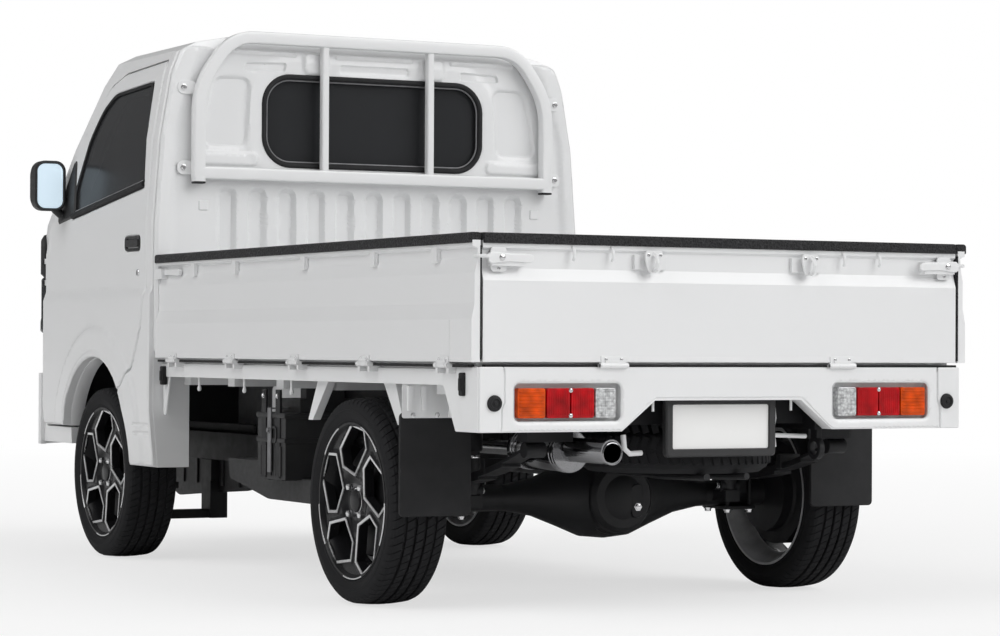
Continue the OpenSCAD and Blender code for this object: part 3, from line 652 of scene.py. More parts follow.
def within(points, loops):
    """Which points lie inside the first outline and outside the others."""
    inside = np.zeros(len(points), bool)
    for loop in loops:
        for (x0, y0), (x1, y1) in zip(loop, np.roll(loop, -1, 0)):
            crosses = (y0 > points[:, 1]) != (y1 > points[:, 1])
            if y1 != y0:
                inside ^= crosses & (points[:, 0] < (x1 - x0) * (points[:, 1] - y0) / (y1 - y0) + x0)
    return inside


def rounded(width, height, radius, steps=6, centre=(0.0, 0.0)):
    """A rectangle with round corners."""
    made = []
    for k, (sx, sy) in enumerate(((1, 1), (-1, 1), (-1, -1), (1, -1))):
        for i in range(steps + 1):
            a = math.pi / 2 * (k + i / steps)
            made.append((centre[0] + sx * (width / 2 - radius) + radius * math.cos(a),
                         centre[1] + sy * (height / 2 - radius) + radius * math.sin(a)))
    return made


RIM_FACE = 0.0665
RIM_WINDOW = ((0.009, 0.074), (0.074, 0.140), (0.060, 0.184), (-0.010, 0.195), (-0.076, 0.134),
              (-0.060, 0.092))
RIM_BARREL = ((0.207, -0.0755), (0.207, -0.070), (0.197, -0.067), (0.190, -0.050), (0.178, -0.030),
              (0.178, 0.020), (0.190, 0.050), (0.197, 0.067), (0.207, 0.070), (0.207, 0.0755),
              (0.201, 0.0755), (0.193, 0.066), (0.186, 0.052), (0.173, 0.018), (0.173, -0.028),
              (0.186, -0.052), (0.193, -0.066), (0.201, -0.0755), (0.207, -0.0755))
BARREL_STEP = (0.173, -0.012)
TYRE_R = 0.273
TYRE_WALL = ((0.200, 0.066, 0), (0.207, 0.0735, 0), (0.213, 0.0772, 0), (0.2155, 0.0764, 0),
             (0.226, 0.0806, 0), (0.232, 0.0817, 0), (0.233, 0.0826, 0), (0.240, 0.0826, 0),
             (0.241, 0.0817, 0), (0.252, 0.0806, 0), (0.2600, 0.0768, 0.002), (0.2660, 0.0715, 0.004))
TYRE_GROOVES = (-0.042, -0.014, 0.014, 0.042)
GROOVE_HALF = 0.004
GROOVE_R = TYRE_R - 0.0075
TREAD_HALF = 0.0655
TREAD_CROWN = 0.0045
EDGE_DROP = 0.0008
SIPE_LEAN = 0.55


def turned(loop, angle):
    c, s = math.cos(angle), math.sin(angle)
    return [(a * c - b * s, a * s + b * c) for a, b in loop]


def ring(radius, count, centre=(0.0, 0.0)):
    return [(centre[0] + radius * math.cos(2 * math.pi * k / count),
             centre[1] + radius * math.sin(2 * math.pi * k / count)) for k in range(count)]


HUB_DRUM = ((0.0, 0.030), (0.060, 0.030), (0.070, 0.024), (0.142, 0.022), (0.147, 0.017), (0.147, -0.036),
            (0.138, -0.040), (0.0, -0.040))
HUB_CAP = ((0.031, 0.050), (0.031, 0.062), (0.028, 0.0655), (0.020, 0.0668), (0.0, 0.0672))
CAP_RING = ((0.0335, 0.050), (0.0335, 0.0600), (0.0312, 0.0608))
WHEEL_NUT = ((0.0105, 0.050), (0.0105, 0.066), (0.0085, 0.071), (0.0, 0.0725))


def rim_mesh():
    """A five-window alloy wheel about its own centre, outside towards +Y."""
    form = Form("rim_black", "turned_metal", "exhaust_metal", "barrel_metal", "frame_black")
    windows = [turned(RIM_WINDOW, 2 * math.pi * k / 5) for k in range(5)]

    def face(u, v, height):
        return Vector((-u, RIM_FACE + height, v))

    def level(loop, grow, height):
        return [face(u, v, height) for u, v in grown(loop, grow)]

    presses = [(ring(0.068, 40), -0.009, 0.03)] + [(grown(w, 0.012), 0.0025, 0.006) for w in windows]
    form.panel(ring(0.200, 90), windows, presses, face, 0.010, 0.002, -0.024)
    form.lathe(RIM_BARREL[5:14] + (BARREL_STEP,), "y", (0, 0, 0), 72, capped=False)
    form.use("barrel_metal")
    form.lathe((BARREL_STEP,) + RIM_BARREL[14:] + RIM_BARREL[:6], "y", (0, 0, 0), 72, capped=False)
    form.use("frame_black")
    form.lathe(HUB_DRUM, "y", (0, 0, 0), 64)
    form.use("turned_metal")
    for w in windows:
        form.band(level(w, 0.0085, 0.0015), level(w, 0.0080, 0.0042), level(w, 0.0012, 0.0032),
                  level(w, 0.0, -0.012))
    for k in range(5):
        angles = [2 * math.pi * (k + 0.5) / 5 + math.radians(a) for a in range(-19, 14, 2)]
        form.band(*[[Vector((r * math.sin(-a), 0.0755 + y, r * math.cos(a))) for a in angles]
                    for r, y in ((0.2068, 0.0), (0.2062, 0.0012), (0.2030, 0.0012), (0.2024, 0.0))],
                  closed=False)
    form.use("rim_black")
    form.lathe(HUB_CAP, "y", (0, 0, 0), 40)
    form.use("exhaust_metal")
    form.lathe(CAP_RING, "y", (0, 0, 0), 40)
    for k in range(4):
        place = (0.05 * math.cos(math.pi * (k + 0.5) / 2), 0, 0.05 * math.sin(math.pi * (k + 0.5) / 2))
        form.lathe(WHEEL_NUT, "y", place, 6)
    return form.mesh("rim", 30)


def tyre_profile():
    """Radius, distance across and sipe depth, from bead to bead."""
    rows = [(r, -y, d) for r, y, d in TYRE_WALL]
    edges = [-TREAD_HALF]
    for g in TYRE_GROOVES:
        edges += [g - GROOVE_HALF, g + GROOVE_HALF]
    edges.append(TREAD_HALF)
    for k in range(0, len(edges), 2):
        a, b = edges[k], edges[k + 1]
        for share in (0.0, 0.06, 0.5, 0.94, 1.0):
            y = a + (b - a) * share
            at_edge = share in (0.0, 1.0)
            crown = TYRE_R - TREAD_CROWN * (y / TREAD_HALF) ** 2 - (EDGE_DROP if at_edge else 0)
            rows.append((crown, y, 0.0035 if at_edge else 0.005))
        if k + 2 < len(edges):
            rows += [(GROOVE_R, b + 0.0010, 0), (GROOVE_R, edges[k + 2] - 0.0010, 0)]
    return rows + list(TYRE_WALL[::-1])


def tyre_mesh(sipes):
    """A road tyre about its own centre with four grooves and slanted sipes."""
    form = Form("tyre_rubber")
    part = bmesh.new()
    step = 2 * math.pi / sipes
    marks = ((0.0, 0), (0.88, 0), (0.90, 1), (0.98, 1))
    rows = []
    for radius, across, depth in tyre_profile():
        lean = SIPE_LEAN * across / TYRE_R
        rows.append([part.verts.new(((radius - depth * cut) * math.cos(step * (k + share) + lean), across,
                                     (radius - depth * cut) * math.sin(step * (k + share) + lean)))
                     for k in range(sipes) for share, cut in marks])
    count = len(rows[0])
    for one, two in zip(rows, rows[1:] + rows[:1]):
        for k in range(count):
            part.faces.new((one[k], two[k], two[(k + 1) % count], one[(k + 1) % count]))
    return form.merge(part).mesh("tyre", 28)


class TRUCK_OT_wheels(bpy.types.Operator):
    """Alloy wheels with bright window edges, and road tyres with sipes"""

    bl_idname = "truck.wheels"
    bl_label = "Wheels"

    def execute(self, context):
        meshes = {"rim": rim_mesh(), "tyre": tyre_mesh(context.scene.truck_sizes.sipes)}
        for end, x in (("front", FRONT_X), ("rear", REAR_X)):
            for name, side in SIDES:
                place = Matrix.Translation((x, WHEEL_Y * side,
                                            HUB_Z)) @ Matrix.Rotation(0.0 if side > 0 else math.pi, 4, "Z")
                for kind, mesh in meshes.items():
                    node = f"{kind}_{end}_{name}"
                    stand(mesh, node + "_detail", f"wheel_{end}_{name}",
                          (node,), place)
        return {"FINISHED"}


CAB_SECTION = ((0.305, 0.016), (0.480, 0.0), (1.050, 0.0), (1.320, 0.020), (1.520, 0.055), (1.590, 0.082),
               (1.618, 0.138))
ARCH = (FRONT_X - 0.032, 0.338)
ARCH_R = 0.303
FLARE_R = 0.400
DOOR_FRONT = FRONT_X + 0.495
DOOR_BACK = FRONT_X - 0.449
BELT_Z = 0.846
RIBS = 11
WALL_SKIN = 0.017
RIB_PITCH = 0.1
REAR_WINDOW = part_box("rear_window")
DOOR_TOP = ((0.495, 0.985), (0.430, 1.100), (0.310, 1.225), (0.178, 1.375), (0.090, 1.462), (0.010, 1.512),
            (-0.090, 1.545), (-0.431, 1.560), (-0.449, 1.535), (-0.449, 0.850), (-0.418, 0.728),
            (-0.353, 0.620))
DOOR_CORNER = ((-0.357, 0.615), (-0.424, 0.725))
DOOR_WINDOW = ((-0.405, 1.168), (0.245, 1.092), (0.225, 1.190), (0.115, 1.365), (0.045, 1.440),
               (-0.045, 1.485), (-0.380, 1.500))


def cab_inset(z):
    """How far the cab's side stands in from its widest at a height."""
    return float(np.interp(z, [h for h, _ in CAB_SECTION], [i for _, i in CAB_SECTION]))


def arch_points(first, last, radius=ARCH_R, steps=24):
    """Points on the wheel arch between two angles in degrees."""
    angles = [math.radians(first + (last - first) * k / steps) for k in range(steps + 1)]
    return [(ARCH[0] + radius * math.cos(a), ARCH[1] + radius * math.sin(a)) for a in angles]


def from_wheel(loop):
    """An outline of the door, which is drawn from the front wheel, in the truck's frame."""
    return [(FRONT_X + x, z) for x, z in loop]


def softened(loop, radius, steps=4):
    """An outline with its corners turned into short curves."""
    points = [Vector(p) for p in loop]
    made = []
    for k, p in enumerate(points):
        ends = []
        for q in (points[k - 1], points[(k + 1) % len(points)]):
            ends.append(p + (q - p).normalized() * min(radius, (q - p).length * 0.45))
        for i in range(steps + 1):
            t = i / steps
            b = ends[0] * (1 - t) ** 2 + p * 2 * t * (1 - t) + ends[1] * t ** 2
            made.append((b.x, b.y))
    return made


def about(middle, half):
    return middle - half, middle + half


def pair(side, a, b):
    """Two distances from the middle, on a side."""
    return side * a, side * b


def sided(loop, side):
    """An outline drawn for the left, put on a side."""
    return [(side * a, b) for a, b in loop]


def mirrored(loop):
    return sided(loop, -1)


def flipped(side, y):
    """Mirrors what stands at a distance on the right, so that it faces outwards there too."""
    return None if side > 0 else Matrix.Translation((0, 2 * side * y, 0)) @ Matrix.Scale(-1, 4, (0, 1, 0))


def oblong(low, high, radius):
    """A rectangle with round corners between two corners."""
    return rounded(high[0] - low[0], high[1] - low[1], radius, 5,
                   ((low[0] + high[0]) / 2, (low[1] + high[1]) / 2))


def wall_presses():
    """The pressed shapes of the cab's back wall: outline, height and slope."""
    inner = [(0.686, 0.60), (0.686, 1.065), (0.671, 1.354), (0.600, 1.570), (0.560, 1.606)]
    presses = [(softened(inner + mirrored(inner)[::-1], 0.05), -0.008, 0.022)]
    glass = rounded(0.87, 0.39, 0.14, 8, (0.0, (REAR_WINDOW[0].z + REAR_WINDOW[1].z) / 2))
    presses.append((glass, 0.003, 0.020))
    side = softened([(0.425, 1.514), (0.545, 1.512), (0.583, 1.300), (0.438, 1.298)], 0.035)
    slot = softened([(0.305, 1.563), (0.440, 1.560), (0.445, 1.538), (0.310, 1.538)], 0.008)
    ridge = oblong((0.270, 1.586), (0.500, 1.600), 0.005)
    pad = oblong((0.160, 1.535), (0.245, 1.600), 0.018)
    bar = oblong((0.400, 1.240), (0.610, 1.279), 0.018)
    mark = oblong((0.564, 1.098), (0.594, 1.128), 0.004)
    for shape, height, slope in ((side, -0.0085, 0.010), (slot, -0.0075, 0.006), (ridge, 0.005, 0.006),
                                 (pad, 0.008, 0.010), (bar, 0.0065, 0.008), (mark, 0.004, 0.004)):
        presses += [(shape, height, slope), (mirrored(shape), height, slope)]
    presses.append((oblong((-0.120, 1.542), (0.120, 1.566), 0.008), -0.0045, 0.006))
    presses.append((oblong((-0.135, 1.586), (0.135, 1.600), 0.005), 0.004, 0.006))
    for k in range(RIBS):
        y = (k - (RIBS - 1) / 2) * RIB_PITCH
        presses.append((oblong((y - 0.026, 0.60), (y + 0.026, 1.166), 0.020), -0.0160, 0.014))
    return presses


class TRUCK_OT_cab_back(bpy.types.Operator):
    """The pressed back wall of the cab and its window seal"""

    bl_idname = "truck.cab_back"
    bl_label = "Cab back wall"

    def execute(self, context):
        pitch = context.scene.truck_sizes.panel_pitch
        edge = [(HALF_W - cab_inset(z) - 0.001, z) for z in (0.656, 1.050, 1.320, 1.520, 1.590, 1.604)]
        outline = softened(edge + mirrored(edge)[::-1], 0.02)
        low, high = REAR_WINDOW
        middle = (0.0, (low.z + high.z) / 2)
        hole = rounded(high.y - low.y, high.z - low.z, 0.088, 8, middle)

        def place(u, v, height):
            return Vector((CAB_BACK + max(0.0, v - 1.60) * 0.34 - height - WALL_SKIN, u, v))

        form = Form("body_paint")
        form.panel(outline, [hole], wall_presses(), place, pitch, 0.008, -WALL_SKIN)
        form.done("cab_back_skin", "chassis", angle=40)
        seal = Form("black_rubber", "engine_metal")
        # the thin grey tube at the glass's edge is a painted highlight along the rubber, drawn as a bead
        for own, grow, radius, x in (("black_rubber", 0.001, 0.0085, 0.010),
                                     ("black_rubber", -0.007, 0.005, 0.002),
                                     ("engine_metal", -0.0100, 0.0027, 0.0064)):
            seal.use(own)
            path = rounded(high.y - low.y + 2 * grow, high.z - low.z + 2 * grow, 0.088 + grow, 10, middle)
            seal.tube([(CAB_BACK - x, y, z) for y, z in path], radius, 10, True)
        seal.done("rear_window_seal", "chassis")
        return {"FINISHED"}


GUARD_LOW, GUARD_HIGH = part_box("guard_frame")
GUARD_TUBE = 0.040
GUARD_HALF = 0.626


class TRUCK_OT_guard(bpy.types.Operator):
    """The window guard's bent tube, bars, tabs with bolts and end caps"""

    bl_idname = "truck.guard"
    bl_label = "Window guard"

    def execute(self, context):
        top, low, back = GUARD_HIGH.z, GUARD_LOW.z, GUARD_LOW.x
        half = [(GUARD_HALF, low + 0.015), (GUARD_HALF, top - 0.170), (GUARD_HALF - 0.118, top)]
        bends = np.array_split(np.array(softened(half + mirrored(half)[::-1], 0.085, 8)), 6)[1:5]
        outline = half[:1] + [tuple(p) for bend in bends for p in bend] + mirrored(half[:1])
        form = Form("body_paint", "black_rubber", "exhaust_metal")
        edge, wide = 0.007, GUARD_TUBE - 0.002
        section = [(0.0, edge), (edge * 0.3, edge * 0.3), (edge, 0.0), (wide - edge, 0.0),
                   (wide - edge * 0.3, edge * 0.3), (wide, edge), (wide, wide - edge),
                   (wide - edge * 0.3, wide - edge * 0.3), (wide - edge, wide), (edge, wide),
                   (edge * 0.3, wide - edge * 0.3), (0.0, wide - edge), (0.0, edge)]
        form.band(*[[Vector((back + 0.001 + x, u, v)) for u, v in grown(outline, -into)]
                    for into, x in section])
        for y in (-0.184, 0.184):
            form.prism(rounded(0.026, 0.024, 0.006, 3, (back + 0.020, y)), "z", low + 0.040, top - 0.030)
        for side in (-1, 1):
            post = rounded(GUARD_TUBE - 0.003, GUARD_TUBE - 0.003, 0.007, 3,
                           (back + GUARD_TUBE / 2, side * (GUARD_HALF - GUARD_TUBE / 2)))
            form.use("body_paint").prism(post, "z", low + 0.006, low + 0.030)
            form.use("black_rubber").prism(post, "z", low, low + 0.007, 0.002)
            for z in (low + 0.049, top - 0.181):
                middle = side * (GUARD_HALF + 0.012)
                form.use("body_paint")
                form.prism(rounded(0.062, 0.042, 0.018, 6, (middle, z)), "x", CAB_BACK - 0.0205,
                           CAB_BACK - 0.0145, 0.0015)
                form.prism(rounded(0.030, 0.030, 0.012, 6, (middle + side * 0.010, z)), "x",
                           CAB_BACK - 0.016, CAB_BACK - 0.002)
                form.use("exhaust_metal")
                form.screw((CAB_BACK - 0.0205, middle + side * 0.012, z), "x", -1, 0.0075, 0.006)
        form.done("window_guard", "chassis", ("guard_frame",))
        return {"FINISHED"}


def belt_presses():
    """What the door and the fixed panels beside it share: the belt line and the wheel arch's flare."""
    belt = [(0.2, 0.1), (1.9, 0.1), (1.9, BELT_Z - 0.006), (0.2, BELT_Z + 0.002)]
    return [(belt, 0.010, 0.026), (ring(FLARE_R, 60, ARCH), 0.011, 0.018),
            (ring(ARCH_R + 0.020, 60, ARCH), 0.003, 0.010)]


def side_skin(form, outline, holes, side, pitch, extra=()):
    """A pressed skin over the cab's side."""
    def place(u, v, height):
        return Vector((u, side * (HALF_W - cab_inset(v) + 0.006 + height), v))

    form.panel(outline, holes, belt_presses() + list(extra), place, pitch, 0.004, -0.006)


KEYHOLE = ((0.011, -0.004), (0.011, 0.003), (0.009, 0.005), (0.0055, 0.005), (0.005, 0.002), (0.0, 0.002))


class TRUCK_OT_doors(bpy.types.Operator):
    """Door skins, the panels behind them, window frames, handles, keyholes and mirrors"""

    bl_idname = "truck.doors"
    bl_label = "Doors"

    def execute(self, context):
        pitch = context.scene.truck_sizes.panel_pitch * 1.2
        door = [(DOOR_FRONT - 0.002, 0.417)] + from_wheel(DOOR_TOP) + arch_points(138.1, 14.7)
        window = from_wheel(DOOR_WINDOW)
        handle = oblong((DOOR_BACK + 0.051, 0.974), (DOOR_BACK + 0.183, 1.020), 0.014)
        back, edge = CAB_BACK + 0.001, DOOR_BACK - 0.005
        foot = [(back, 0.309), (ARCH[0] - 0.3016, 0.309)] + arch_points(185.5, 138.9)
        pillar = foot + from_wheel(DOOR_CORNER) + [(edge, 0.848), (edge, 1.587), (back, 1.587)]
        steps = [(oblong((CAB_BACK + 0.010, z), (CAB_BACK + 0.118, z + 0.008), 0.003), -0.004, 0.004)
                 for z in (0.406, 0.433)]
        for name, side in SIDES:
            body = f"door_{name}"
            skin = Form("body_paint")
            side_skin(skin, grown(door, -0.0015), [window, handle], side, pitch)
            skin.done(f"door_{name}_skin", body, angle=40)
            corner = Form("body_paint")
            side_skin(corner, pillar, [], side, pitch, steps)
            corner.done(f"cab_corner_{name}", "chassis", angle=40)
            self.frame(name, side, body, window)
            self.handle(name, side, body)
            self.mirror(name, side, body)
        return {"FINISHED"}

    def frame(self, name, side, body, window):
        """Black rubber round the door glass and the wiper strip along its foot."""
        seal = Form("black_rubber", "barrel_metal")

        def at(point, out):
            return Vector((point[0], side * (HALF_W - cab_inset(point[1]) + out), point[1]))

        loop = softened(window, 0.030, 5)
        inner = softened(grown(window, -0.009), 0.030, 5)
        seal.band([at(p, -0.014) for p in loop], [at(p, 0.0075) for p in loop],
                  [at(p, 0.0055) for p in inner], [at(p, -0.006) for p in inner])
        foot = [(window[0][0] + 0.004, window[0][1] + 0.012), (window[1][0] - 0.004, window[1][1] + 0.012)]
        seal.tube([at(p, 0.003) for p in foot], 0.011, 10)
        seal.use("barrel_metal").tube([at((x, z + 0.0105), 0.0045) for x, z in foot], 0.0022, 8)
        seal.done(f"door_{name}_window_seal", body)
        pane = Form("dark_glass")
        pane.panel(softened(grown(window, -0.003), 0.030, 5), [], [], lambda u, v,
                   height: at((u, v), height), 0.06, 0.002, -0.004)
        pane.done(f"door_{name}_pane", body, (f"door_{name}_glass",))

    def handle(self, name, side, body):
        """A pull handle in its cup, with the keyhole below it."""
        x, face = DOOR_BACK + 0.117, HALF_W + 0.006
        form = Form("black_plastic", "exhaust_metal")
        cup = rounded(0.130, 0.044, 0.014, 5, (x, 0.997))
        inner = rounded(0.116, 0.030, 0.010, 5, (x, 0.997))
        form.band(*[[Vector((u, side * (face + y), v)) for u, v in loop]
                    for loop, y in ((cup, -0.008), (cup, 0.002), (inner, 0.001), (inner, -0.012))])
        form.block(about(x, 0.060), pair(side, face - 0.016, face - 0.008), (0.976, 1.018), 0.001)
        paddle = [(x - 0.054, 0.992), (x - 0.046, 0.986), (x + 0.050, 0.986), (x + 0.054, 0.992),
                  (x + 0.052, 1.010), (x - 0.052, 1.010)]
        form.prism(paddle, "y", side * (face - 0.010), side * (face + 0.004), 0.003)
        form.use("exhaust_metal")
        form.lathe(KEYHOLE, "y", (x - 0.052, side * (face - 0.001), 0.905), 24, flipped(side, face - 0.001))
        form.done(f"door_{name}_handle", body, (f"door_{name}_fittings",))

    def mirror(self, name, side, body):
        """A mirror with its arm, its foot on the door and its glass."""
        x, y, z = FRONT_X + 0.315, HALF_W + 0.062, 1.204
        form = Form("black_plastic", "mirror_glass")

        def loop(width, height, depth, radius):
            return [Vector((x + depth, side * (y + a), z + b)) for a, b in rounded(width, height, radius, 6)]

        form.band(loop(0.086, 0.146, -0.024, 0.026), loop(0.094, 0.154, -0.030, 0.030),
                  loop(0.106, 0.166, -0.028, 0.034), loop(0.114, 0.164, 0.004, 0.036),
                  loop(0.104, 0.150, 0.026, 0.038), loop(0.070, 0.100, 0.036, 0.032),
                  loop(0.004, 0.006, 0.037, 0.0015))
        arm = [(x + 0.010, side * (HALF_W - 0.010), 1.105), (x + 0.012, side * (HALF_W + 0.012), 1.112),
               (x + 0.010, side * (y - 0.030), 1.128), (x + 0.008, side * (y - 0.014), 1.150)]
        form.tube(arm, 0.014, 12)
        foot = [(x - 0.105, 1.100), (x + 0.058, 1.080), (x + 0.050, 1.130), (x - 0.065, 1.285),
                (x - 0.085, 1.285)]

        def on_door(point, out):
            return Vector((point[0], side * (HALF_W - cab_inset(point[1]) + out), point[1]))

        outer, rim = softened(foot, 0.012), softened(grown(foot, -0.006), 0.010)
        form.band([on_door(p, -0.004) for p in outer], [on_door(p, 0.006) for p in outer],
                  [on_door(p, 0.011) for p in rim],
                  [on_door((x - 0.02 + (p[0] - x) * 0.02, 1.17 + (p[1] - 1.17) * 0.02), 0.011) for p in rim])
        form.use("mirror_glass")
        form.prism(rounded(0.0864, 0.1464, 0.026, 6, (side * y, z)), "x", x - 0.0264, x - 0.0224, 0.0004)
        form.done(f"mirror_{name}", body)


GATE_FACE_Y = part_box("side_gate_left_rail")[1].y - 0.001
GATE_IN_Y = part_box("side_gate_left_rail")[0].y
TAIL_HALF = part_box("tailgate")[1].y
TAIL_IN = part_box("tailgate")[1].x
RAIL_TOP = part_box("tailgate_rail")[1].z + 0.006
HOOK_SHARES = (0.10, 0.27, 0.48, 0.71, 0.86)
SIDE_HINGES = (-1.5315, -1.0775, -0.6235, -0.1695, 0.2845)
TAIL_HINGES = (-0.34, 0.34)


class TRUCK_OT_tailgate(bpy.types.Operator):
    """The tailgate's rubber rail, levers, rope hooks and hinge knuckles"""

    bl_idname = "truck.tailgate"
    bl_label = "Tailgate"

    def execute(self, context):
        face = GATE_BACK
        rail = Form("rail_rubber")
        section = [(face - 0.005, RAIL_TOP - 0.026), (TAIL_IN + 0.003, RAIL_TOP - 0.026),
                   (TAIL_IN + 0.003, RAIL_TOP - 0.004), (TAIL_IN - 0.002, RAIL_TOP), (face, RAIL_TOP),
                   (face - 0.005, RAIL_TOP - 0.005)]
        rail.prism(section, "y", -TAIL_HALF + 0.001, TAIL_HALF - 0.001, 0.003)
        rail.done("tailgate_rubber", "tailgate", ("tailgate_rail",))
        form = Form("body_paint", "exhaust_metal")
        for side in (-1, 1):
            self.lever(form, side, face)
            self.rope_hook(form, side * 0.233, face)
            form.use("body_paint")
            for y in (0.345, 0.455):
                form.tube([(face + 0.002, side * y, 0.926), (face - 0.007, side * y, 0.918),
                           (face - 0.008, side * y, 0.900), (face - 0.002, side * y, 0.893)], 0.004, 8)
        for y in TAIL_HINGES:
            form.use("body_paint").hinge((face - 0.004, y, HINGE_Z), "y", 0.074)
            form.block((face - 0.0035, face + 0.001), about(y, 0.036), (HINGE_Z + 0.004, HINGE_Z + 0.024),
                       0.0015)
            form.use("exhaust_metal")
            for d in (-0.022, 0.022):
                form.screw((face - 0.0035, y + d, HINGE_Z + 0.015), "x", -1, 0.0035, 0.003)
        form.use("body_paint")
        form.block((face - 0.0012, face + 0.001), (-TAIL_HALF + 0.004, TAIL_HALF - 0.004),
                   (HINGE_Z + 0.009, HINGE_Z + 0.021), 0.0006)
        form.done("tailgate_fittings", "tailgate")
        return {"FINISHED"}

    def lever(self, form, side, face):
        """An over-centre lever that hooks the tailgate to the side gate."""
        form.use("body_paint")
        bar = [(0.575, 0.888), (0.583, 0.884), (0.640, 0.886), (0.690, 0.881), (0.698, 0.886),
               (0.699, 0.903), (0.690, 0.910), (0.640, 0.906), (0.583, 0.905), (0.575, 0.901)]
        form.prism(sided(bar, side), "x", face - 0.021, face - 0.014, 0.0025)
        plate = oblong((0.640, 0.862), (0.684, 0.922), 0.010)
        form.prism(sided(plate, side), "x", face - 0.004, face + 0.001, 0.001)
        form.tube([(face - 0.016, side * 0.688, 0.897), (face - 0.019, side * 0.706, 0.899),
                   (face - 0.012, side * 0.718, 0.899), (face + 0.012, side * 0.719, 0.899)], 0.0045, 8)
        form.use("exhaust_metal").screw((face - 0.021, side * 0.662, 0.896), "x", -1, 0.006, 0.004, 12)
        form.screw((face - 0.004, side * 0.662, 0.870), "x", -1, 0.0035, 0.003)

    def rope_hook(self, form, y, face):
        """A plate with a hook for a rope."""
        form.use("body_paint")
        plate = [(y - 0.024, 0.920), (y + 0.024, 0.920), (y + 0.026, 0.900), (y + 0.016, 0.866),
                 (y - 0.016, 0.866), (y - 0.026, 0.900)]
        form.prism(softened(plate, 0.008), "x", face - 0.0185, face - 0.012, 0.0015)
        form.tube([(face - 0.016, y, 0.912), (face - 0.032, y, 0.904), (face - 0.036, y, 0.890),
                   (face - 0.031, y, 0.876), (face - 0.020, y, 0.870)], 0.006, 10)
        form.use("exhaust_metal")
        for d in (-0.017, 0.017):
            form.screw((face - 0.0185, y + d, 0.909), "x", -1, 0.0035, 0.003)


class TRUCK_OT_side_gates(bpy.types.Operator):
    """The side gates' rubber rails, dark end strips of painted shade, rope hooks, latches and hinge knuckles"""

    bl_idname = "truck.side_gates"
    bl_label = "Side gates"

    def execute(self, context):
        for name, side in SIDES:
            body = f"side_gate_{name}"
            rail = Form("rail_rubber")
            section = [(GATE_IN_Y - 0.003, RAIL_TOP - 0.026), (GATE_FACE_Y + 0.005, RAIL_TOP - 0.026),
                       (GATE_FACE_Y + 0.005, RAIL_TOP - 0.005), (GATE_FACE_Y, RAIL_TOP),
                       (GATE_IN_Y + 0.002, RAIL_TOP), (GATE_IN_Y - 0.003, RAIL_TOP - 0.004)]
            rail.prism(section, "x", GATE_BACK + 0.001, GATE_FRONT - 0.001, 0.003, 2, flipped(side, 0.0))
            # the dark strip on the gate's inner face at its rear end is painted shade in the gap to the tailgate
            rail.prism([(GATE_BACK - 0.001, 0.648), (GATE_BACK + 0.026, 0.648), (GATE_BACK + 0.026, 0.925),
                        (GATE_BACK - 0.001, 0.925)], "y", side * (GATE_IN_Y + 0.001),
                       side * (GATE_IN_Y - 0.0035), 0.001)
            rail.done(f"side_gate_{name}_rubber", body, (f"side_gate_{name}_rail",))
            self.fittings(name, side, body)
        return {"FINISHED"}

    def fittings(self, name, side, body):
        form = Form("body_paint", "exhaust_metal")
        out = GATE_FACE_Y - 0.024
        for share in HOOK_SHARES:
            x = GATE_BACK + share * (GATE_FRONT - GATE_BACK)
            for d in (-0.012, 0.012):
                form.tube([(x + d, side * (out - 0.004), 0.925), (x + d, side * (out + 0.012), 0.916),
                           (x + d, side * (out + 0.014), 0.899), (x + d, side * (out + 0.002), 0.889)],
                          0.004, 8)
        for x in SIDE_HINGES:
            form.use("body_paint").hinge((x, side * (GATE_FACE_Y + 0.003), HINGE_Z), "x", 0.062, 0.007)
            form.block(about(x, 0.030), pair(side, GATE_FACE_Y - 0.001, GATE_FACE_Y + 0.0035),
                       (HINGE_Z + 0.004, HINGE_Z + 0.022), 0.0012)
            form.use("exhaust_metal")
            for d in (-0.018, 0.018):
                form.screw((x + d, side * (GATE_FACE_Y + 0.0035), HINGE_Z + 0.014), "y", side, 0.0032, 0.003)
        form.use("body_paint")
        x = GATE_FRONT - 0.040
        lever = [(x - 0.150, 0.896), (x - 0.140, 0.890), (x - 0.050, 0.893), (x + 0.030, 0.889),
                 (x + 0.036, 0.897), (x + 0.032, 0.914), (x - 0.050, 0.910), (x - 0.140, 0.911),
                 (x - 0.150, 0.905)]
        form.prism(lever, "y", side * (out + 0.010), side * (out + 0.022), 0.0025)
        form.use("exhaust_metal").screw((x, side * (out + 0.022), 0.901), "y", side, 0.006, 0.004, 12)
        form.use("body_paint")
        groove = GATE_BACK + 0.118
        form.block(about(groove, 0.0015), pair(side, GATE_FACE_Y - 0.02, GATE_FACE_Y + 0.001),
                   (0.650, 0.745), 0.0005)
        form.done(f"side_gate_{name}_fittings", body)


PANEL_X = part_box("number_plate")[1].x - 0.045
PANEL_LOW = 0.472
PANEL_TOP = 0.6315
PANEL_HALF = 0.7125
PLATE_LOW, PLATE_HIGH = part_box("number_plate")
LAMP_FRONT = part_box("tail_lamps_red")[0].x
LAMP_LOW, LAMP_TOP = 0.506, 0.580
LAMPS = (("amber", 0.528, 0.607), ("red", 0.391, 0.526), ("clear", 0.330, 0.389))
ROUND_STOP = ((0.020, 0.008), (0.020, -0.004), (0.018, -0.008), (0.012, -0.010), (0.010, -0.007),
              (0.0, -0.007))


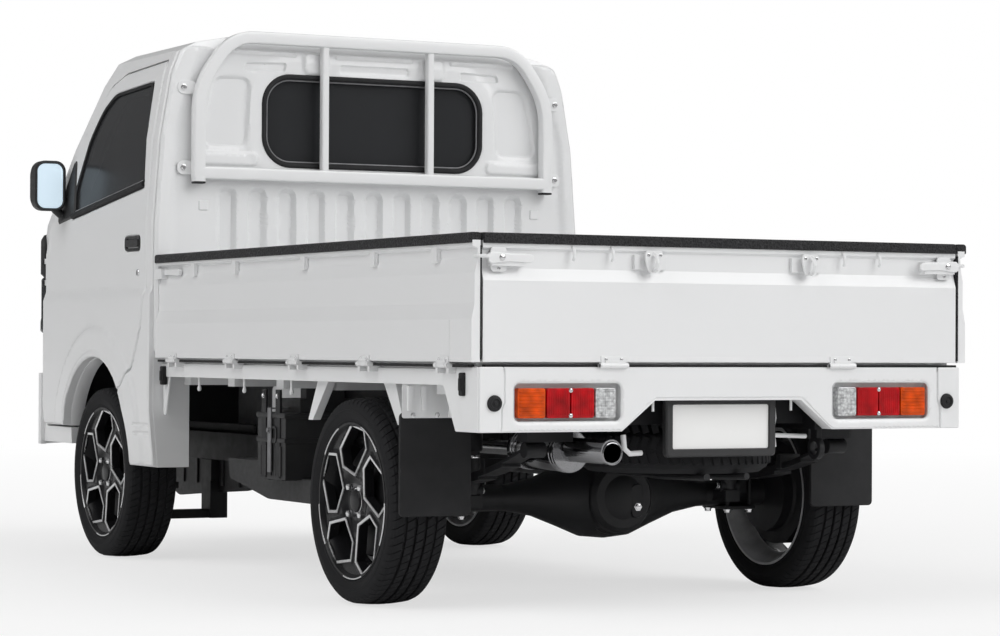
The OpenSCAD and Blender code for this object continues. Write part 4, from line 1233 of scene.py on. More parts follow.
class TRUCK_OT_rear_panel(bpy.types.Operator):
    """The pressed lower rear panel, its corners, lamp lenses, plate frame and rubber stops"""

    bl_idname = "truck.rear_panel"
    bl_label = "Rear panel"

    def execute(self, context):
        self.skin(context.scene.truck_sizes.panel_pitch)
        for name, inner, outer in LAMPS:
            self.lens(name, inner, outer)
        self.plate()
        self.stops()
        return {"FINISHED"}

    def skin(self, pitch):
        """The middle panel round the lamps and plate, and a corner cap at each side."""
        def place(u, v, height):
            return Vector((PANEL_X - height - 0.0025, u, v))

        seam_top, seam_low = 0.644, 0.652
        half = [(seam_low, PANEL_LOW), (seam_low, 0.530), (seam_top, 0.545), (seam_top, PANEL_TOP)]
        notch = [(0.317, PANEL_LOW), (0.300, 0.482), (0.232, 0.542), (0.217, 0.552)]
        outline = half + mirrored(half)[::-1] + mirrored(notch) + notch[::-1]
        pocket = oblong((0.316, 0.499), (0.615, 0.591), 0.014)
        form = Form("body_paint")
        form.panel(outline, [pocket, mirrored(pocket)],
                   [(grown(pocket, 0.006), -0.002, 0.012), (grown(mirrored(pocket), 0.006), -0.002, 0.012)],
                   place, pitch * 1.3, 0.004, -0.0025)
        for side in (-1, 1):
            cap = [(seam_low + 0.002, PANEL_LOW), (PANEL_HALF, PANEL_LOW), (PANEL_HALF, PANEL_TOP),
                   (seam_top + 0.002, PANEL_TOP), (seam_top + 0.002, 0.546), (seam_low + 0.002, 0.531)]
            form.prism(sided(cap, side), "x", PANEL_X - 0.0045, PANEL_X + 0.002, 0.0035, 3)
            wing = [(PANEL_X - 0.001, PANEL_LOW), (PANEL_X + 0.118, PANEL_LOW), (PANEL_X + 0.185, 0.583),
                    (PANEL_X + 0.185, PANEL_TOP), (PANEL_X - 0.001, PANEL_TOP)]
            form.prism(wing, "y", side * (PANEL_HALF - 0.002), side * (PANEL_HALF + 0.004), 0.003, 3)
        form.done("rear_panel_skin", "chassis", angle=40)

    def lens(self, name, inner, outer):
        """A pair of lamp lenses, ribbed across for amber, halved for red and gridded for clear."""
        form = Form(f"lamp_{name}", "exhaust_metal")
        low, high = LAMP_FRONT - 0.004, LAMP_FRONT + 0.021
        middle = (inner + outer) / 2
        halves = ((inner, middle - 0.0006), (middle + 0.0006, outer)) if name == "red" else ((inner, outer),)

        def across(z, gap, radius, count):
            form.tube([(low, side * (inner + gap), z), (low, side * (outer - gap), z)], radius, count)

        def upright(x, y, gap, radius):
            form.tube([(x, side * y, LAMP_LOW + gap), (x, side * y, LAMP_TOP - gap)], radius, 6)

        for side in (-1, 1):
            form.use(f"lamp_{name}")
            for a, b in halves:
                shape = oblong((a + 0.001, LAMP_LOW), (b - 0.001, LAMP_TOP), 0.006)
                form.prism(sided(shape, side), "x", low, high, 0.002)
            if name == "amber":
                for k in range(7):
                    across(LAMP_LOW + 0.010 + k * 0.009, 0.006, 0.0022, 8)
            if name == "red":
                for a, b in halves:
                    for k in range(9):
                        upright(low + 0.0006, a + 0.008 + (b - a - 0.016) * k / 8, 0.007, 0.0016)
                form.use("exhaust_metal")
                for z in (LAMP_LOW + 0.006, LAMP_TOP - 0.006):
                    form.screw((low, side * middle, z), "x", -1, 0.0042, 0.0025, 12)
            if name == "clear":
                for k in range(8):
                    across(LAMP_LOW + 0.008 + k * 0.0083, 0.004, 0.0014, 6)
                for k in range(5):
                    upright(low, inner + 0.008 + k * 0.0108, 0.005, 0.0014)
        form.done(f"tail_lamp_lens_{name}", "chassis", (f"tail_lamps_{name}",))

    def plate(self):
        """The plate's black frame with a blank plate, pegs beside it and the spare wheel's winder."""
        x = PLATE_LOW.x
        form = Form("black_plastic", "plate_white", "body_paint")
        middle = (0.0, (PLATE_LOW.z + PLATE_HIGH.z) / 2)
        wide, tall = PLATE_HIGH.y - PLATE_LOW.y, PLATE_HIGH.z - PLATE_LOW.z
        loops = [(wide + 0.034, tall + 0.034, 0.012, 0.010), (wide + 0.034, tall + 0.034, 0.012, -0.004),
                 (wide + 0.026, tall + 0.026, 0.010, -0.008), (wide - 0.004, tall - 0.004, 0.006, -0.008),
                 (wide - 0.008, tall - 0.008, 0.005, -0.001)]
        form.band(*[[Vector((x + depth, y, z)) for y, z in rounded(w, h, r, 5, middle)]
                    for w, h, r, depth in loops])
        form.use("plate_white")
        form.prism(rounded(wide - 0.006, tall - 0.006, 0.006, 5, middle), "x", x - 0.0022, x + 0.001, 0.0008)
        form.use("body_paint")
        for side in (-1, 1):
            form.tube([(PANEL_X + 0.030, side * 0.206, 0.551), (PANEL_X + 0.030, side * 0.206, 0.520)],
                      0.0035, 10)
        form.tube([(x + 0.05, -0.190, 0.545), (x + 0.05, -0.196, 0.500), (x + 0.05, -0.190, 0.470),
                   (x + 0.05, -0.196, 0.425)], 0.006, 10)
        form.tube([(x + 0.045, -0.170, 0.456), (x + 0.045, -0.290, 0.452)], 0.006, 10)
        for y0, y1 in ((0.250, 0.196), (-0.120, -0.166)):
            form.tube([(x + 0.06, y0, 0.460), (x + 0.06, y0 - 0.004, 0.425), (x + 0.06, y0 - 0.020, 0.412),
                       (x + 0.06, y1, 0.414)], 0.007, 10)
        form.done("plate_frame", "chassis", ("plate_holder", "number_plate"))

    def stops(self):
        """Round rubber stops on the corners and square ones under the side gates."""
        form = Form("black_rubber", "frame_black")
        for side in (-1, 1):
            form.use("black_rubber")
            place = (PANEL_X - 0.003, side * 0.672, 0.543)
            form.lathe(ROUND_STOP, "x", place, 32)
            form.use("frame_black").screw((place[0] - 0.006, place[1], place[2]), "x", -1, 0.005, 0.004)
            form.use("black_rubber")
            for x in (PANEL_X + 0.062, CAB_BACK - 0.048):
                form.block((x, x + 0.024), pair(side, PANEL_HALF - 0.004, PANEL_HALF + 0.013),
                           (0.560, 0.617), 0.004)
                form.block((x + 0.004, x + 0.020), (side * PANEL_HALF, side * (PANEL_HALF + 0.016)),
                           (0.572, 0.604), 0.003)
        form.done("rubber_stops", "chassis", ("gate_stops",))


AXLE_Y = (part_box("propeller_shaft")[0].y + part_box("propeller_shaft")[1].y) / 2
SILL_LOW = 0.585
STAYS = (((-0.747, -0.675), (-0.642, -0.611)), ((-1.161, -1.089), (-1.214, -1.176)))
PEGS = (0.169, -0.178, -0.516, -1.245)
TREAD_BLOCK = ((-0.003, -0.009), (0.0035, -0.009), (0.0035, 0.009), (-0.003, 0.009))
APRON = ((0.600, 0.430), (0.618, 0.224), (0.660, 0.217), (1.044, 0.192), (1.250, 0.177), (1.290, 0.190),
         (1.300, 0.430))
APRON_RIBS = (0.720, 0.860, 1.080, 1.200)
FLAP_IN = 0.525
FLAP_TOP = 0.512
AXLE_COVER = ((0.104, 0.0), (0.104, -0.012), (0.098, -0.018), (0.086, -0.022), (0.078, -0.044),
              (0.060, -0.060), (0.034, -0.067), (0.0, -0.068))
BRAKE_DRUM = ((0.0, 0.0), (0.118, 0.0), (0.118, -0.010), (0.110, -0.016), (0.110, -0.046), (0.050, -0.052),
              (0.036, -0.060))
DAMPER_COVER = ((0.0, 0.512), (0.030, 0.512), (0.031, 0.500), (0.031, 0.405), (0.028, 0.402), (0.0, 0.402))
DAMPER_BODY = ((0.0, 0.405), (0.024, 0.405), (0.024, 0.310), (0.018, 0.300), (0.0, 0.300))
DAMPER_RING = ((0.0246, 0.392), (0.0252, 0.391), (0.0252, 0.386), (0.0246, 0.385))
SILENCER_BAND = ((0.0535, -0.004), (0.0560, -0.002), (0.0560, 0.002), (0.0535, 0.004))
TAIL_PIPE = ((0.0270, 0.030), (0.0285, 0.026), (0.0290, 0.004), (0.0285, 0.0), (0.0262, -0.001),
             (0.0245, 0.002), (0.0240, 0.030))
ROPE_PEG = ((0.0, SILL_LOW + 0.004), (0.0045, SILL_LOW + 0.004), (0.0038, 0.560), (0.0055, 0.556),
            (0.0062, 0.550), (0.0045, 0.545), (0.0, 0.544))


class TRUCK_OT_underbody(bpy.types.Operator):
    """Axle housing, springs, dampers, silencer bands, stays, boxes, aprons, spare wheel and mud flaps"""

    bl_idname = "truck.underbody"
    bl_label = "Underbody"

    def execute(self, context):
        self.axle()
        self.springs()
        self.exhaust()
        self.stays()
        self.boxes()
        self.aprons()
        self.spare()
        self.flaps()
        return {"FINISHED"}

    def axle(self):
        """A banjo housing with its bolted cover, drain plug and brake pipe."""
        form = Form("frame_black", "exhaust_metal")
        half = ((0.0335, 0.37), (0.037, 0.30), (0.052, 0.22), (0.082, 0.14), (0.110, 0.07), (0.1165, 0.0))
        profile = [(r, -d) for r, d in half] + [(r, d) for r, d in half[-2::-1]]
        form.lathe(profile, "y", (REAR_X, AXLE_Y, HUB_Z), 48)
        back = REAR_X - 0.062
        form.lathe(AXLE_COVER, "x", (back, AXLE_Y, HUB_Z), 48)
        form.prism(softened([(AXLE_Y - 0.062, HUB_Z - 0.052), (AXLE_Y - 0.022, HUB_Z - 0.058),
                             (AXLE_Y - 0.018, HUB_Z + 0.034), (AXLE_Y - 0.058, HUB_Z + 0.038)], 0.02), "x",
                   back - 0.068, back - 0.030, 0.004)
        form.use("exhaust_metal")
        form.screw((back - 0.068, AXLE_Y - 0.040, HUB_Z - 0.026), "x", -1, 0.009, 0.006)
        form.use("frame_black")
        for k in range(10):
            a = 2 * math.pi * (k + 0.5) / 10
            form.screw((back - 0.014, AXLE_Y + 0.094 * math.cos(a), HUB_Z + 0.094 * math.sin(a)), "x", -1,
                       0.006, 0.006)
        form.tube([(REAR_X - 0.03, 0.60, HUB_Z + 0.045), (REAR_X - 0.032, 0.42, HUB_Z + 0.048),
                   (REAR_X - 0.03, 0.20, HUB_Z + 0.095), (REAR_X - 0.02, AXLE_Y, HUB_Z + 0.125),
                   (REAR_X - 0.03, -0.28, HUB_Z + 0.095), (REAR_X - 0.032, -0.45, HUB_Z + 0.048),
                   (REAR_X - 0.03, -0.60, HUB_Z + 0.045)], 0.004, 8)
        for side in (-1, 1):
            form.lathe(BRAKE_DRUM, "y", (REAR_X, side * (WHEEL_Y - 0.030), HUB_Z), 40,
                       flipped(side, WHEEL_Y - 0.030))
        form.done("rear_axle_housing", "chassis")

    def springs(self):
        """Spring clips, damper covers and their eyes."""
        form = Form("frame_black", "exhaust_metal")
        y_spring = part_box("leaf_springs")[1].y - 0.030
        low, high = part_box("dampers")
        for side in (-1, 1):
            form.use("frame_black")
            for x in about(REAR_X, 0.052):
                y0, y1 = side * (y_spring - 0.036), side * (y_spring + 0.036)
                form.tube([(x, y0, HUB_Z - 0.050), (x, y0, 0.345), (x, y0 + (y1 - y0) * 0.15, 0.356),
                           (x, y1 - (y1 - y0) * 0.15, 0.356), (x, y1, 0.345), (x, y1, HUB_Z - 0.050)],
                          0.0055, 10)
                form.use("exhaust_metal")
                for y in (y0, y1):
                    form.screw((x, y, HUB_Z - 0.044), "z", -1, 0.009, 0.010)
                form.use("frame_black")
            form.block(about(REAR_X, 0.070), pair(side, y_spring - 0.045, y_spring + 0.045),
                       (HUB_Z - 0.044, HUB_Z - 0.034), 0.003)
            for x in about(REAR_X, 0.30):
                form.block(about(x, 0.012), pair(side, y_spring - 0.033, y_spring + 0.033), (0.352, 0.392),
                           0.003)
            x, y = (low.x + high.x) / 2, side * (high.y - 0.022)
            form.lathe(DAMPER_COVER, "z", (x, y, 0), 28)
            form.lathe(DAMPER_BODY, "z", (x, y, 0), 28)
            form.pin(0.017, -0.03, 0.03, "y", (x, y, low.z + 0.012), 20)
            form.use("exhaust_metal")
            form.lathe(DAMPER_RING, "z", (x, y, 0), 28)
            form.screw((x, y - side * 0.03, low.z + 0.012), "y", -side, 0.009, 0.009)
        form.done("spring_clips_and_dampers", "chassis")

    def exhaust(self):
        """Bands and seams on the silencer, and a rolled tail pipe."""
        form = Form("silencer_metal", "frame_black")
        low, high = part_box("exhaust")
        y = high.y - 0.054
        z = high.z - 0.054
        for x in (-1.440, -1.425, -1.235, -1.220):
            form.lathe(SILENCER_BAND, "x", (x, y, z), 40)
        form.lathe(TAIL_PIPE, "x", (low.x, y, z), 36)
        form.use("frame_black")
        x = -1.330
        form.tube([(x, y + 0.058, z), (x, y + 0.060, z + 0.05), (x, y + 0.040, z + 0.09)], 0.005, 8)
        form.done("silencer_bands", "chassis")

    def stays(self):
        """White stays of the wheel guards, pegs for ropes and the bracket behind the cab."""
        form = Form("body_paint")
        for side in (-1, 1):
            y = side * (PANEL_HALF - 0.030)
            for (a, b), (c, d) in STAYS:
                face = [(a, SILL_LOW + 0.003), (b, SILL_LOW + 0.003), (d, 0.478), (c, 0.478)]
                form.prism(face, "y", y, y + side * 0.004, 0.0015)
                for p, q in ((face[0], face[3]), (face[1], face[2])):
                    form.prism([p, (p[0] + 0.004, p[1]), (q[0] + 0.004, q[1]), q], "y", y + side * 0.002,
                               y - side * 0.020, 0.001)
            for x in PEGS:
                form.lathe(ROPE_PEG, "z", (x, side * (PANEL_HALF - 0.018), 0), 14)
            bracket = [(CAB_BACK - 0.062, SILL_LOW + 0.004), (CAB_BACK - 0.008, SILL_LOW + 0.004),
                       (CAB_BACK - 0.008, 0.470), (CAB_BACK - 0.030, 0.466)]
            form.prism(softened(bracket, 0.008), "y", side * (PANEL_HALF - 0.006),
                       side * (PANEL_HALF - 0.012), 0.002)
            form.prism(softened([(-1.500, 0.588), (-1.330, 0.588), (-1.300, 0.500), (-1.500, 0.494)], 0.01),
                       "y", side * 0.600, side * 0.606, 0.002)
            for x in (-1.450, -1.380):
                form.tube([(x, side * 0.609, 0.580), (x, side * 0.609, 0.512)], 0.006, 10)
        form.done("guard_stays_and_pegs", "chassis")

    def boxes(self):
        """Lid, strap, ribs and window of the battery box, with its air duct and splash tray."""
        low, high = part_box("battery_box")
        middle = (low.x + high.x) / 2
        strap = about(middle, 0.012)
        form = Form("black_plastic", "engine_metal", "body_paint")
        form.block((low.x - 0.004, high.x + 0.004), (low.y - 0.004, high.y + 0.005),
                   (high.z - 0.085, high.z - 0.070), 0.004)
        form.block((low.x - 0.003, high.x + 0.003), (low.y, high.y + 0.004), (low.z + 0.105, low.z + 0.118),
                   0.003)
        for k in range(5):
            x = low.x + 0.030 + k * 0.035
            form.block(about(x, 0.004), (high.y - 0.002, high.y + 0.004), (low.z + 0.010, low.z + 0.095),
                       0.0015)
        form.use("engine_metal")
        form.block(strap, (low.y - 0.006, high.y + 0.007), (high.z - 0.060, high.z - 0.056), 0.001)
        form.block(strap, (high.y + 0.004, high.y + 0.008), (low.z + 0.02, high.z - 0.056), 0.001)
        form.screw((middle, high.y + 0.008, high.z - 0.120), "y", 1, 0.007, 0.007)
        form.use("black_plastic")
        window = oblong((low.x + 0.060, high.z - 0.150), (low.x + 0.120, high.z - 0.115), 0.006)
        form.band(*[[Vector((u, high.y + d, v)) for u, v in loop]
                    for loop, d in ((grown(window, 0.006), 0.0), (grown(window, 0.006), 0.006),
                                    (window, 0.006), (window, -0.001))])
        form.use("body_paint")
        duct = [(high.x + 0.030, 0.560), (high.x + 0.390, 0.560), (high.x + 0.390, 0.420),
                (high.x + 0.250, 0.365), (high.x + 0.030, 0.450)]
        form.prism(softened(duct, 0.02), "y", 0.375, 0.440, 0.006)
        form.use("black_plastic")
        tray = [(low.x - 0.220, low.z + 0.004), (low.x - 0.215, 0.246), (low.x - 0.180, 0.236),
                (high.x + 0.040, 0.236), (high.x + 0.330, 0.285), (high.x + 0.345, 0.345),
                (high.x - 0.004, 0.345), (high.x - 0.004, low.z + 0.004)]
        form.prism(softened(tray, 0.012), "y", 0.440, 0.600, 0.004)
        form.block((high.x + 0.235, high.x + 0.262), (0.442, 0.448), (0.300, 0.390), 0.002)
        form.block((high.x + 0.235, high.x + 0.262), (0.430, 0.448), (0.384, 0.390), 0.002)
        form.done("battery_and_air_box", "chassis")

    def aprons(self):
        """Black splash aprons between the front wheels and the engine, hung from the rails."""
        form = Form("black_plastic")
        for side in (-1, 1):
            form.prism(softened(APRON, 0.015), "y", side * 0.322, side * 0.334, 0.003)
            for x in APRON_RIBS:
                form.prism([(x - 0.012, 0.400), (x + 0.012, 0.400), (x + 0.009, 0.225), (x - 0.009, 0.225)],
                           "y", side * 0.333, side * 0.340, 0.003)
        form.done("wheel_house_aprons", "chassis")

    def spare(self):
        """Tread of the spare wheel under the deck and the carrier that holds it."""
        low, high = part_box("spare_wheel")
        x, y = (low.x + high.x) / 2, (low.y + high.y) / 2
        radius = (high.x - low.x) / 2
        form = Form("tyre_rubber", "frame_black")
        for k in range(60):
            a = 2 * math.pi * k / 60
            for z, lean in ((low.z + 0.040, 0.05), (low.z + 0.080, -0.05), (low.z + 0.120, 0.05)):
                spin = Matrix.Translation((x, y, z)) @ Matrix.Rotation(a, 4, "Z")
                spin = spin @ Matrix.Translation((radius - 0.001, 0, 0)) @ Matrix.Rotation(lean * 6, 4, "X")
                form.prism(TREAD_BLOCK, "z", -0.016, 0.016, 0.001, 1, spin)
        form.use("frame_black")
        for out in (1, -1):
            form.tube([(low.x - 0.012, y + out * 0.06, low.z - 0.006), (x, y + out * 0.03, low.z - 0.014),
                       (high.x + 0.01, y + out * 0.06, low.z - 0.006)], 0.009, 10)
        form.done("spare_wheel_carrier", "chassis")

    def flaps(self):
        """Mud flaps with their white hangers, clamps and screws."""
        low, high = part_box("mud_flaps")
        form = Form("black_rubber", "exhaust_metal", "body_paint")
        for side in (-1, 1):
            a, b, top = FLAP_IN, high.y, FLAP_TOP
            form.use("black_rubber")
            outer = sided(oblong((a - 0.003, low.z - 0.003), (b + 0.003, top), 0.012), side)
            form.prism(outer, "x", low.x - 0.003, high.x + 0.003, 0.003)
            form.use("body_paint")
            form.prism(sided(oblong((a, top - 0.014), (b, high.z), 0.006), side), "x", low.x - 0.007,
                       low.x - 0.004, 0.001)
            for y in (a + 0.050, b - 0.060, b - 0.020):
                form.block((low.x - 0.016, low.x - 0.005), pair(side, y - 0.008, y + 0.008),
                           (top + 0.004, high.z - 0.004), 0.004)
            form.use("exhaust_metal")
            for k in range(3):
                form.screw((low.x - 0.007, side * (a + 0.030 + k * (b - a - 0.06) / 2), top - 0.006), "x",
                           -1, 0.005, 0.004)
        form.done("mud_flap_covers", "chassis", ("mud_flaps",))


SCREEN = ((0.640, 1.108), (0.600, 1.480), (0.575, 1.545))
LAMP_BOWL = ((1.0, -0.012), (1.0, 0.004), (0.94, 0.007), (0.86, 0.003), (0.5, -0.010), (0.3, -0.011),
             (0.0, -0.011))
LAMP_BULB = ((0.34, -0.012), (0.33, 0.000), (0.22, 0.007), (0.0, 0.009))


def meet(nodes, start, way, out):
    """The point of the named solids that a ray meets first, moved out along the normal."""
    found = []
    for node in nodes.split():
        hit, place, normal, _ = frame["nodes"][node].ray_cast(Vector(start), Vector(way))
        if hit:
            found.append(((place - Vector(start)).length, place + normal * out))
    if not found:
        raise RuntimeError(f"{nodes} is not met from {start}")
    return min(found, key=lambda pair: pair[0])[1]


def on_front(nodes, y, z, out=0.0):
    return meet(nodes, (3.0, y, z), (-1, 0, 0), out)


def on_side(nodes, side, x, z, out=0.0):
    return meet(nodes, (x, side * 3.0, z), (0, -side, 0), out)


WIPER_FOOT = ((0.0, -0.006), (0.014, -0.006), (0.014, 0.010), (0.009, 0.016), (0.0, 0.017))
LAMP_CUP = ((0.052, -0.02), (0.052, 0.003), (0.046, 0.006), (0.040, 0.002), (0.038, -0.01))
LAMP_GLASS = ((0.039, -0.012), (0.037, -0.001), (0.024, 0.003), (0.0, 0.004))


class TRUCK_OT_front(bpy.types.Operator):
    """Windscreen seal, wipers, headlamps, grille bars and bumper details"""

    bl_idname = "truck.front"
    bl_label = "Front"

    def execute(self, context):
        self.screen()
        self.headlamps(context.scene.truck_sizes.panel_pitch)
        self.grille()
        self.bumper()
        return {"FINISHED"}

    def screen(self):
        """The seal round the windscreen and two wipers."""
        corners = list(SCREEN) + mirrored(SCREEN)[::-1]
        loop = softened(grown(corners, 0.006), 0.05, 6)
        seal = Form("black_rubber", "black_plastic")
        path = [on_front("cab_front windscreen", y, z, 0.002) for y, z in spaced(loop, 0.03)]
        seal.tube(path, 0.009, 8, True)
        seal.use("black_plastic")
        for y, tip in ((0.30, -0.18), (-0.12, -0.58)):
            foot = on_front("cab_front windscreen", y, 1.088, 0.012)
            blade = [on_front("windscreen", y + (tip - y) * k / 8 * 0.98,
                              1.122 + 0.035 * math.sin(k / 8 * 2.2), 0.024) for k in range(9)]
            seal.lathe(WIPER_FOOT, "x", foot, 18)
            seal.tube([foot + Vector((0.010, 0, 0)), (foot + blade[3]) / 2 + Vector((0.022, 0, 0.006)),
                       blade[4] + Vector((0.004, 0, 0))], 0.006, 8)
            seal.tube(blade, 0.007, 8, False, 0.6)
        seal.done("windscreen_seal_and_wipers", "chassis")

    def headlamps(self, pitch):
        """Smoked lenses with bright bowls, and the dark panels above them."""
        lens = [(0.428, 0.716), (0.600, 0.724), (0.684, 0.745), (0.700, 0.780), (0.700, 0.882),
                (0.684, 0.882), (0.600, 0.868), (0.428, 0.852)]
        for name, side in SIDES:
            form = Form("lamp_smoke", "exhaust_metal", "dark_glass", "lamp_amber", "black_plastic")

            def front(node):
                return lambda u, v, height: on_front(node, side * u, v, 0.005 + height)

            form.panel(softened(lens, 0.02), [], [], front("headlamps"), pitch, 0.003, -0.005)
            for y, z, r in ((0.500, 0.792, 0.048), (0.604, 0.800, 0.050)):
                place = on_front("headlamps", side * y, z, 0.010)
                form.use("exhaust_metal").lathe([(r * share, x) for share, x in LAMP_BOWL], "x", place, 36)
                form.use("dark_glass").lathe([(r * share, x) for share, x in LAMP_BULB], "x", place, 28)
            form.use("lamp_amber")
            marker = [(0.660, 0.775), (0.694, 0.790), (0.695, 0.866), (0.660, 0.858)]
            form.panel(softened(marker, 0.008), [], [], lambda u, v,
                       height: on_front("headlamps", side * u, v, 0.009 + height), pitch, 0.002, -0.005)
            wrap = [(DOOR_FRONT + 0.012, 0.728), (1.505, 0.716), (1.508, 0.907), (DOOR_FRONT + 0.012, 0.909)]
            crest = [(DOOR_FRONT + 0.012, 0.911), (1.508, 0.909), (1.522, 1.020), (1.505, 1.072),
                     (DOOR_FRONT + 0.020, 1.020)]
            for loop, own in ((wrap, "lamp_smoke"), (crest, "black_plastic")):
                form.use(own)
                form.panel(softened(loop, 0.012), [], [], lambda u, v,
                           height: on_side("cab_front headlamps", side, u, v, 0.018 + height), pitch, 0.010,
                           -0.018)
            form.done(f"headlamp_{name}_lens", "chassis")

    def grille(self):
        """A frame with bars across the air intake."""
        low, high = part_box("grille")
        form = Form("black_plastic", "exhaust_metal")
        for k in range(4):
            z = low.z + 0.020 + k * (high.z - low.z - 0.040) / 3
            row = [on_front("cab_front grille", y, z, 0.003)
                   for y in np.linspace(low.y + 0.03, high.y - 0.03, 25)]
            form.tube(row, 0.006, 8, False, 0.8)
        for y in np.linspace(low.y + 0.06, high.y - 0.06, 9):
            form.tube([on_front("cab_front grille", y, z, 0.001)
                       for z in np.linspace(low.z + 0.015, high.z - 0.015, 5)], 0.0035, 6)
        loop = rounded(high.y - low.y + 0.012, high.z - low.z + 0.012, 0.024, 5, (0.0, (low.z + high.z) / 2))
        form.tube([on_front("cab_front grille", y, z, 0.001) for y, z in spaced(grown(loop, 0.006), 0.03)],
                  0.006, 8, True)
        form.done("grille_bars", "chassis")

    def bumper(self):
        """Lower vent, lamp cups and the blank front plate."""
        form = Form("black_plastic", "plate_white", "exhaust_metal", "lamp_clear")

        def front(out):
            return lambda u, v, height: on_front("bumper", u, v, out + height)

        form.panel(softened([(-0.36, 0.385), (0.36, 0.385), (0.39, 0.440), (-0.39, 0.440)], 0.015), [], [],
                   front(0.003), 0.03, 0.003, -0.003)
        for side in (-1, 1):
            cup = on_front("bumper", side * 0.545, 0.445, 0.0)
            form.use("black_plastic")
            form.lathe(LAMP_CUP, "x", cup, 32)
            form.use("lamp_clear")
            form.lathe(LAMP_GLASS, "x", cup, 32)
        x = on_front("bumper", 0.0, 0.500, 0.0).x
        form.use("black_plastic")
        form.prism(rounded(0.340, 0.175, 0.010, 4, (0.0, 0.500)), "x", x - 0.010, x + 0.006, 0.002)
        form.use("plate_white")
        form.prism(rounded(0.330, 0.165, 0.008, 4, (0.0, 0.500)), "x", x + 0.004, x + 0.008, 0.001)
        form.use("exhaust_metal")
        for side in (-1, 1):
            form.screw((x + 0.008, side * 0.105, 0.560), "x", 1, 0.005, 0.003)
        form.done("bumper_details", "chassis")


class TRUCK_OT_deck(bpy.types.Operator):
    """Ribs of the load floor, black strips of painted shade under the gates, door cards, and straps of the tank
    and battery box
    """

    bl_idname = "truck.deck"
    bl_label = "Deck ribs, door cards and straps"

    def execute(self, context):
        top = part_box("deck_floor")[1].z
        ribs = Form("body_paint")
        for k in range(9):
            y = (k - 4) * 0.145
            loop = oblong((GATE_BACK + 0.075, y - 0.030), (GATE_FRONT - 0.045, y + 0.030), 0.020)
            ribs.panel(loop, [], [], lambda u, v, height: Vector((u, v, top + 0.004 + height)), 0.12, 0.004,
                       -0.004)
        ribs.done("deck_ribs", "chassis")
        # the black strips under the gates are painted shade in the gaps at the gates' feet
        gap_shade = Form("black_rubber")
        under = (HINGE_Z - 0.005, HINGE_Z + 0.002)
        for side in (-1, 1):
            face = side * (GATE_FACE_Y - 0.006)
            gap_shade.block((GATE_BACK + 0.030, GATE_FRONT - 0.005), (face, face - side * 0.018), under, 0.001)
        gap_shade.block((GATE_BACK + 0.006, GATE_BACK + 0.024), (-TAIL_HALF + 0.010, TAIL_HALF - 0.010), under,
                     0.001)
        gap_shade.done("gate_foot_strips", "chassis")
        for name, side in SIDES:
            self.card(name, side, context.scene.truck_sizes.panel_pitch * 2)
        straps = Form("frame_black", "exhaust_metal")
        for node, count in (("fuel_tank", 3), ("battery_box", 2)):
            low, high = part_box(node)
            outer = low.y if low.y < 0 else high.y
            out = math.copysign(1.0, outer)
            for k in range(count):
                x = low.x + (high.x - low.x) * (k + 0.5) / count
                straps.block(about(x, 0.016), (outer - out * 0.004, outer + out * 0.003),
                             (low.z + 0.004, high.z - 0.004), 0.001)
                straps.block(about(x, 0.016), (low.y + 0.006, high.y - 0.006),
                             (low.z - 0.003, low.z + 0.004), 0.001)
                straps.use("exhaust_metal")
                straps.screw((x, outer + out * 0.003, high.z - 0.022), "y", out, 0.006, 0.005)
                straps.use("frame_black")
        straps.done("tank_and_battery_straps", "chassis")
        return {"FINISHED"}

    def card(self, name, side, pitch):
        """The inner lining of a door with its armrest and pull."""
        node = f"door_{name}"
        loop = softened([(DOOR_BACK + 0.075, 0.800), (DOOR_BACK + 0.075, 1.060), (DOOR_FRONT - 0.190, 1.030),
                         (DOOR_FRONT - 0.110, 0.900), (DOOR_FRONT - 0.110, 0.760),
                         (DOOR_BACK + 0.200, 0.760)], 0.03)

        def inside(u, v, height):
            return meet(node, (u, 0.0, v), (0, side, 0), 0.002 + height)

        form = Form("black_plastic", "exhaust_metal")
        rest = oblong((DOOR_BACK + 0.18, 0.905), (DOOR_BACK + 0.52, 0.950), 0.018)
        form.panel(loop, [], [(rest, 0.012, 0.014), (grown(loop, -0.03), 0.002, 0.008)], inside, pitch,
                   0.003, -0.002)
        form.use("exhaust_metal")
        grip = [inside(DOOR_BACK + x, 0.995, h)
                for x, h in ((0.20, 0.003), (0.215, 0.016), (0.285, 0.016), (0.30, 0.003))]
        form.tube(grip, 0.005, 8)
        form.done(f"door_{name}_card", node)


SEAT_Y = 0.330
SEAT_HALF = 0.235
SEAT_TOP = 1.290
REST_HALF = 0.130
SEAT_CUTS = 23
KNOB = ((0.0, -0.020), (0.013, -0.018), (0.015, -0.006), (0.015, 0.006))
GEAR_KNOB = ((0.0, -0.03), (0.018, -0.026), (0.024, 0.0), (0.020, 0.018), (0.0, 0.026))


